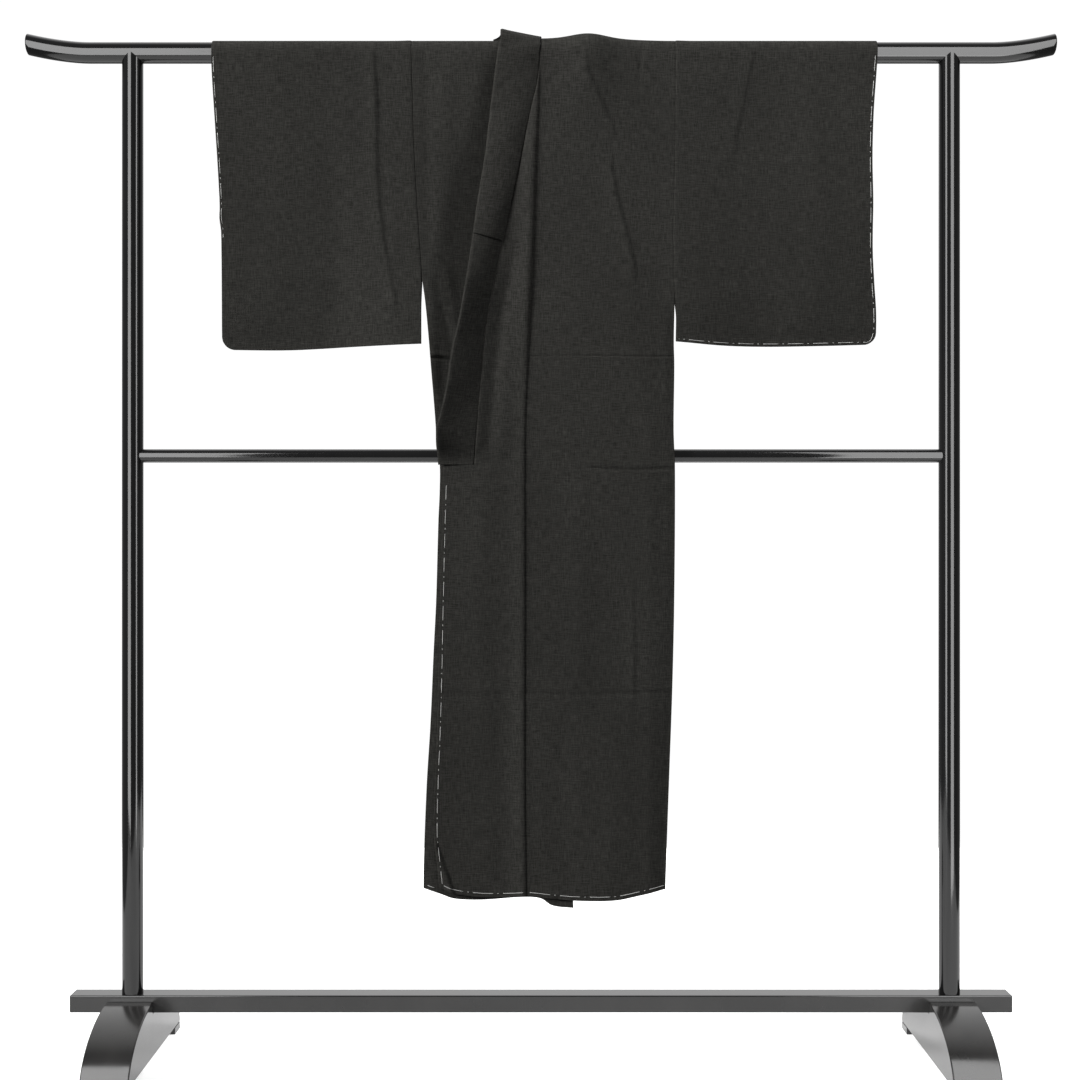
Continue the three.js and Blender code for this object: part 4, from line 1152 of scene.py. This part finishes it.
def top_bar():
    """A round bar with turned-up tips and ends rounded by END_ROUND."""
    half = BAR_LENGTH / 2
    turns = [k * math.pi / 8 for k in range(5)]
    low = [(-half + END_ROUND * (1 - math.sin(t)), END_ROUND * (1 - math.cos(t))) for t in turns[::-1]]
    low += [(-half + t, 0) for t in np.linspace(6, TIP_RUN, 22)]
    stations = low + [(-x, inset) for x, inset in reversed(low)]
    rings = []
    for x, inset in stations:
        run = max(0.0, abs(x) - (half - TIP_RUN)) / TIP_RUN
        y, z = circle(BAR_RADIUS - inset)
        rings.append(np.stack([x + 0 * y, y, BAR_HEIGHT + TIP_RISE * run ** 1.7 + z], 1))
    return tube("rack_top_bar", rings)


def post(name, side):
    """A post with a flat foot and a head hollowed to fit under the bar."""
    bottom = BEAM_BOTTOM + BEAM_HEIGHT + FIT
    x, y = circle(POST_RADIUS)
    middle = side * POST_SPACING / 2
    stations = [(share, bottom + 0 * x) for share in (0.02, 0.5, 0.96, 1.0)]
    for rise in np.linspace(0, 1, 12)[1:-1]:
        stations.append((1.0, mix(bottom, BAR_HEIGHT - 60, rise) + 0 * x))
    for share in (1.0, 0.7, 0.4, 0.02):
        stations.append((share, BAR_HEIGHT - np.sqrt((BAR_RADIUS + FIT) ** 2 - (share * y) ** 2)))
    return tube(name, [np.stack([middle + x * share, y * share, z], 1) for share, z in stations])


def lower_bar():
    y, z = circle(LOWER_BAR_RADIUS)
    reach = POST_SPACING / 2 - np.sqrt((POST_RADIUS + FIT) ** 2 - y ** 2)
    shares = (-1, -0.97, -0.5, 0, 0.5, 0.97, 1)
    return tube("rack_lower_bar", [np.stack([share * reach, y, LOWER_BAR_HEIGHT + z], 1) for share in shares])


def bevelled(made, width, segments=4):
    """Rounds the sharp edges of a piece and keeps its flat faces flat."""
    bevel = made.modifiers.new("bevel", "BEVEL")
    bevel.width = width * MM
    bevel.segments = segments
    bevel.limit_method = "ANGLE"
    bevel.angle_limit = math.radians(32)
    weighted = made.modifiers.new("weighted", "WEIGHTED_NORMAL")
    weighted.keep_sharp = True
    graph = bpy.context.evaluated_depsgraph_get()
    mesh = bpy.data.meshes.new_from_object(made.evaluated_get(graph))
    made.modifiers.clear()
    made.data = mesh
    return made


def slab(name, outline, axis_from, axis_to, bevel):
    """An outline in Y and Z drawn out along X, with rounded edges."""
    vertices = [(x, y, z) for x in (axis_from, axis_to) for y, z in outline]
    faces = tube_faces(0, 2, len(outline))
    return bevelled(mesh_object(name, np.array(vertices) * MM, faces), bevel)


def base_beam():
    half = BEAM_DEPTH / 2
    low = BEAM_BOTTOM
    high = BEAM_BOTTOM + BEAM_HEIGHT
    outline = [(half, low), (half, high), (-half, high), (-half, low)]
    return slab("rack_base_beam", outline, -BEAM_LENGTH / 2, BEAM_LENGTH / 2, 2.0)


def across_foot(name, side, outline, bevel):
    """A slab as wide as a foot, at one end of the beam."""
    middle = side * POST_SPACING / 2
    return slab(name, outline, middle - FOOT_WIDTH / 2, middle + FOOT_WIDTH / 2, bevel)


def foot(name, side):
    """An arched runner, notched on top for the beam."""
    notch = BEAM_DEPTH / 2 + FIT
    first = math.asin((PAD_HEIGHT + FIT) / FOOT_HEIGHT)
    last = math.acos(notch / FOOT_HALF_LENGTH)
    arch = [(FOOT_HALF_LENGTH * math.cos(t), FOOT_HEIGHT * math.sin(t)) for t in np.linspace(first, last, 34)]
    outline = arch + [(notch, BEAM_BOTTOM - FIT), (-notch, BEAM_BOTTOM - FIT)]
    outline += [(-y, z) for y, z in reversed(arch)]
    return across_foot(name, side, outline, 2.2)


def pad(name, side, end):
    outer = end * (FOOT_HALF_LENGTH - PAD_INSET)
    low, high = sorted((outer, outer - end * PAD_LENGTH))
    outline = [(high, 0), (high, PAD_HEIGHT), (low, PAD_HEIGHT), (low, 0)]
    return across_foot(name, side, outline, 1.0)


# ---- putting the pieces in place

CLOTH = cloth_material()
LACQUER = lacquer_material()
THREAD = thread_material()
PIECES = {}


def stands_for(piece, node, material):
    piece.data.materials.append(material)
    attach(piece, "root")
    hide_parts(node)
    PIECES[node] = piece


SHEETS = [
    # maker, node, flat width and length in metres, flat area where it isn't their product
    (body_left, "body_left", (0.312, 2.91), 0.80),
    (body_right, "body_right", (0.30, 2.91), 0.78),
    (sleeve_left, "sleeve_left", (0.345, 1.06), 0.36),
    (sleeve_right, "sleeve_right", (0.355, 1.06), 0.36),
    (okumi_left, "okumi_left", (0.155, 1.36), 0.16),
    (okumi_right, "okumi_right", (0.155, 1.36), 0.16),
    (collar_left, "collar_left", (0.062, 0.85), None),
    (collar_right, "collar_right", (0.062, 0.79), None),
    (over_collar, "over_collar", (0.062, 0.47), None),
]
for maker, node, _, _ in SHEETS:
    stands_for(maker(), node, CLOTH)

RACK = [(top_bar(), "top_bar"), (lower_bar(), "lower_bar"), (base_beam(), "base_beam")]
for side_name, side in (("left", 1), ("right", -1)):
    RACK.append((post(f"rack_{side_name}_post", side), f"post_{side_name}"))
    RACK.append((foot(f"rack_{side_name}_foot", side), f"foot_{side_name}"))
    for end_name, end in (("front", -1), ("back", 1)):
        RACK.append((pad(f"rack_{side_name}_{end_name}_pad", side, end), f"pad_{side_name}_{end_name}"))
for piece, node in RACK:
    stands_for(piece, node, LACQUER)


def beside(edge, inset, heights):
    """Points at an inset in X from an upright edge."""
    return [(edge(z) + inset, z) for z in heights]


def above(low, inset, places):
    """Points at an inset in height from a lower edge."""
    return [(x, low(x) + inset) for x in places]


SLEEVE_CORNER = [(562 - 12 * (1 - math.cos(t)), 1232 - 12 * math.sin(t)) for t in np.linspace(0.2, 1.5, 6)]
LEFT_SLEEVE_LINE = [
    *beside(left_cuff, -4.0, np.linspace(1706, 1240, 80)),
    *SLEEVE_CORNER,
    *above(left_sleeve_bottom, 4.5, np.linspace(548, 232, 60)),
]
BASTING = [
    # thread, node it is sewn to, its line, length of its long stitches
    ("basting_right_cuff", "sleeve_right", beside(right_cuff, 3.4, np.linspace(1704, 1397, 60)), 26),
    ("basting_left_sleeve", "sleeve_left", LEFT_SLEEVE_LINE, 26),
    ("basting_overlap", "okumi_left", beside(okumi_edge, 5.5, np.linspace(980, 308, 120)), 24),
    ("basting_overlap_hem", "okumi_left", above(upper_hem, 7, np.linspace(-166, -28, 30)), 34),
    ("basting_left_hem", "body_left", above(upper_hem, 7, np.linspace(-22, 207, 50)), 34),
    ("basting_right_hem", "body_right", above(under_hem, 7, np.linspace(-194, -174, 8)), 12),
]
THREADS = {}
for name, node, line, long_stitch in BASTING:
    thread = stitches(name, PIECES[node], line, long_stitch)
    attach(thread, "root")
    THREADS.setdefault(node, []).append(thread)

# ---- camera, floor and light

CAMERA_PLACE = (-1.7, -2600, 885)
camera_data = bpy.data.cameras.new("camera")
camera_data.sensor_width = 36
camera_data.sensor_fit = "HORIZONTAL"
camera_data.lens = 50.98
camera = bpy.data.objects.new("camera", camera_data)
camera.location = Vector(CAMERA_PLACE) * MM
camera.rotation_euler = (math.radians(90), 0, 0)
bpy.context.scene.collection.objects.link(camera)
bpy.context.scene.camera = camera

FLOOR_HALF = 1.8
FLOOR_CORNERS = [(x * FLOOR_HALF, y * FLOOR_HALF, 0) for x, y in ((-1, -1), (1, -1), (1, 1), (-1, 1))]
floor = mesh_object("floor", FLOOR_CORNERS, [[0, 1, 2, 3]])
floor.data.materials.append(floor_material())
floor.visible_diffuse = False  # no light comes back up from it, so the folds keep their shadows

ROOM_LIGHT = 0.05  # how bright the dark room round the object is
GLOSS_LIGHT = 0.18  # what the room adds in the lacquer
REAR_LIGHT = 1.5  # the upper back of the room, brightest in the lacquer
BACKDROP = 1.03  # the backdrop the camera sees is white
world = bpy.data.worlds.new("studio")
world.use_nodes = True
sky = world.node_tree
path = add(sky, "ShaderNodeLightPath", {}).outputs
parts = add(sky, "ShaderNodeSeparateXYZ", {"Vector": place_in(sky, "Generated")}).outputs
upper_back = plus(sky, parts["Y"], parts["Z"])
rear = plus(sky, remap(sky, upper_back, 0.8, 1.4, 0.0, REAR_LIGHT), GLOSS_LIGHT)
room = plus(sky, times(sky, rear, path["Is Glossy Ray"]), ROOM_LIGHT)
tone = add(sky, "ShaderNodeMix", {"Factor": path["Is Camera Ray"], 2: room, 3: BACKDROP}, data_type="FLOAT")
feed(sky, sky.nodes["Background"], {"Color": (1, 1, 1, 1), "Strength": tone.outputs[0]})
bpy.context.scene.world = world


def aimed(name, data, place, target):
    light = bpy.data.objects.new(name, data)
    light.location = place
    light.rotation_euler = (Vector(target) - Vector(place)).to_track_quat("-Z", "Y").to_euler()
    bpy.context.scene.collection.objects.link(light)
    return light


key = bpy.data.lights.new("key", "SUN")  # far, so it falls evenly on the whole garment
key.energy = 4.7
key.angle = math.radians(12)
aimed("key", key, (-3.6, -1.7, 2.9), (0, 0, 1.0)).visible_glossy = False

PANELS = [
    # name, place, target, width and height in metres, power, what it lights: cloth or lacquer
    ("left_top", (-2.2, -1.4, 3.0), (0, 0, 1.3), (0.7, 0.7), 40, "cloth"),
    ("front_fill", (0.9, -1.7, 3.3), (0, 0, 1.2), (1.2, 1.2), 28, "cloth"),
    ("rear_side", (2.4, 2.2, 2.8), (0, 0, 1.2), (0.8, 0.8), 150, "cloth"),
    ("rear_fill", (-0.6, 3.2, 2.6), (0, 0, 1.1), (1.2, 1.2), 50, "cloth"),
    ("left_strip", (-1.62, -2.1, 1.55), (-1.62, 0, 1.55), (1.35, 3.1), 95, "lacquer"),
    ("right_strip", (1.15, -1.25, 1.5), (1.15, 0, 1.5), (0.8, 3.0), 50, "lacquer"),
]
for name, place, target, size, power, lights in PANELS:
    data = bpy.data.lights.new(name, "AREA")
    data.shape = "RECTANGLE"
    data.size, data.size_y = size
    data.energy = power
    panel = aimed(name, data, place, target)
    panel.visible_glossy = lights == "lacquer"
    panel.visible_diffuse = lights == "cloth"
    panel.visible_camera = False

bpy.context.scene.view_settings.view_transform = "Standard"
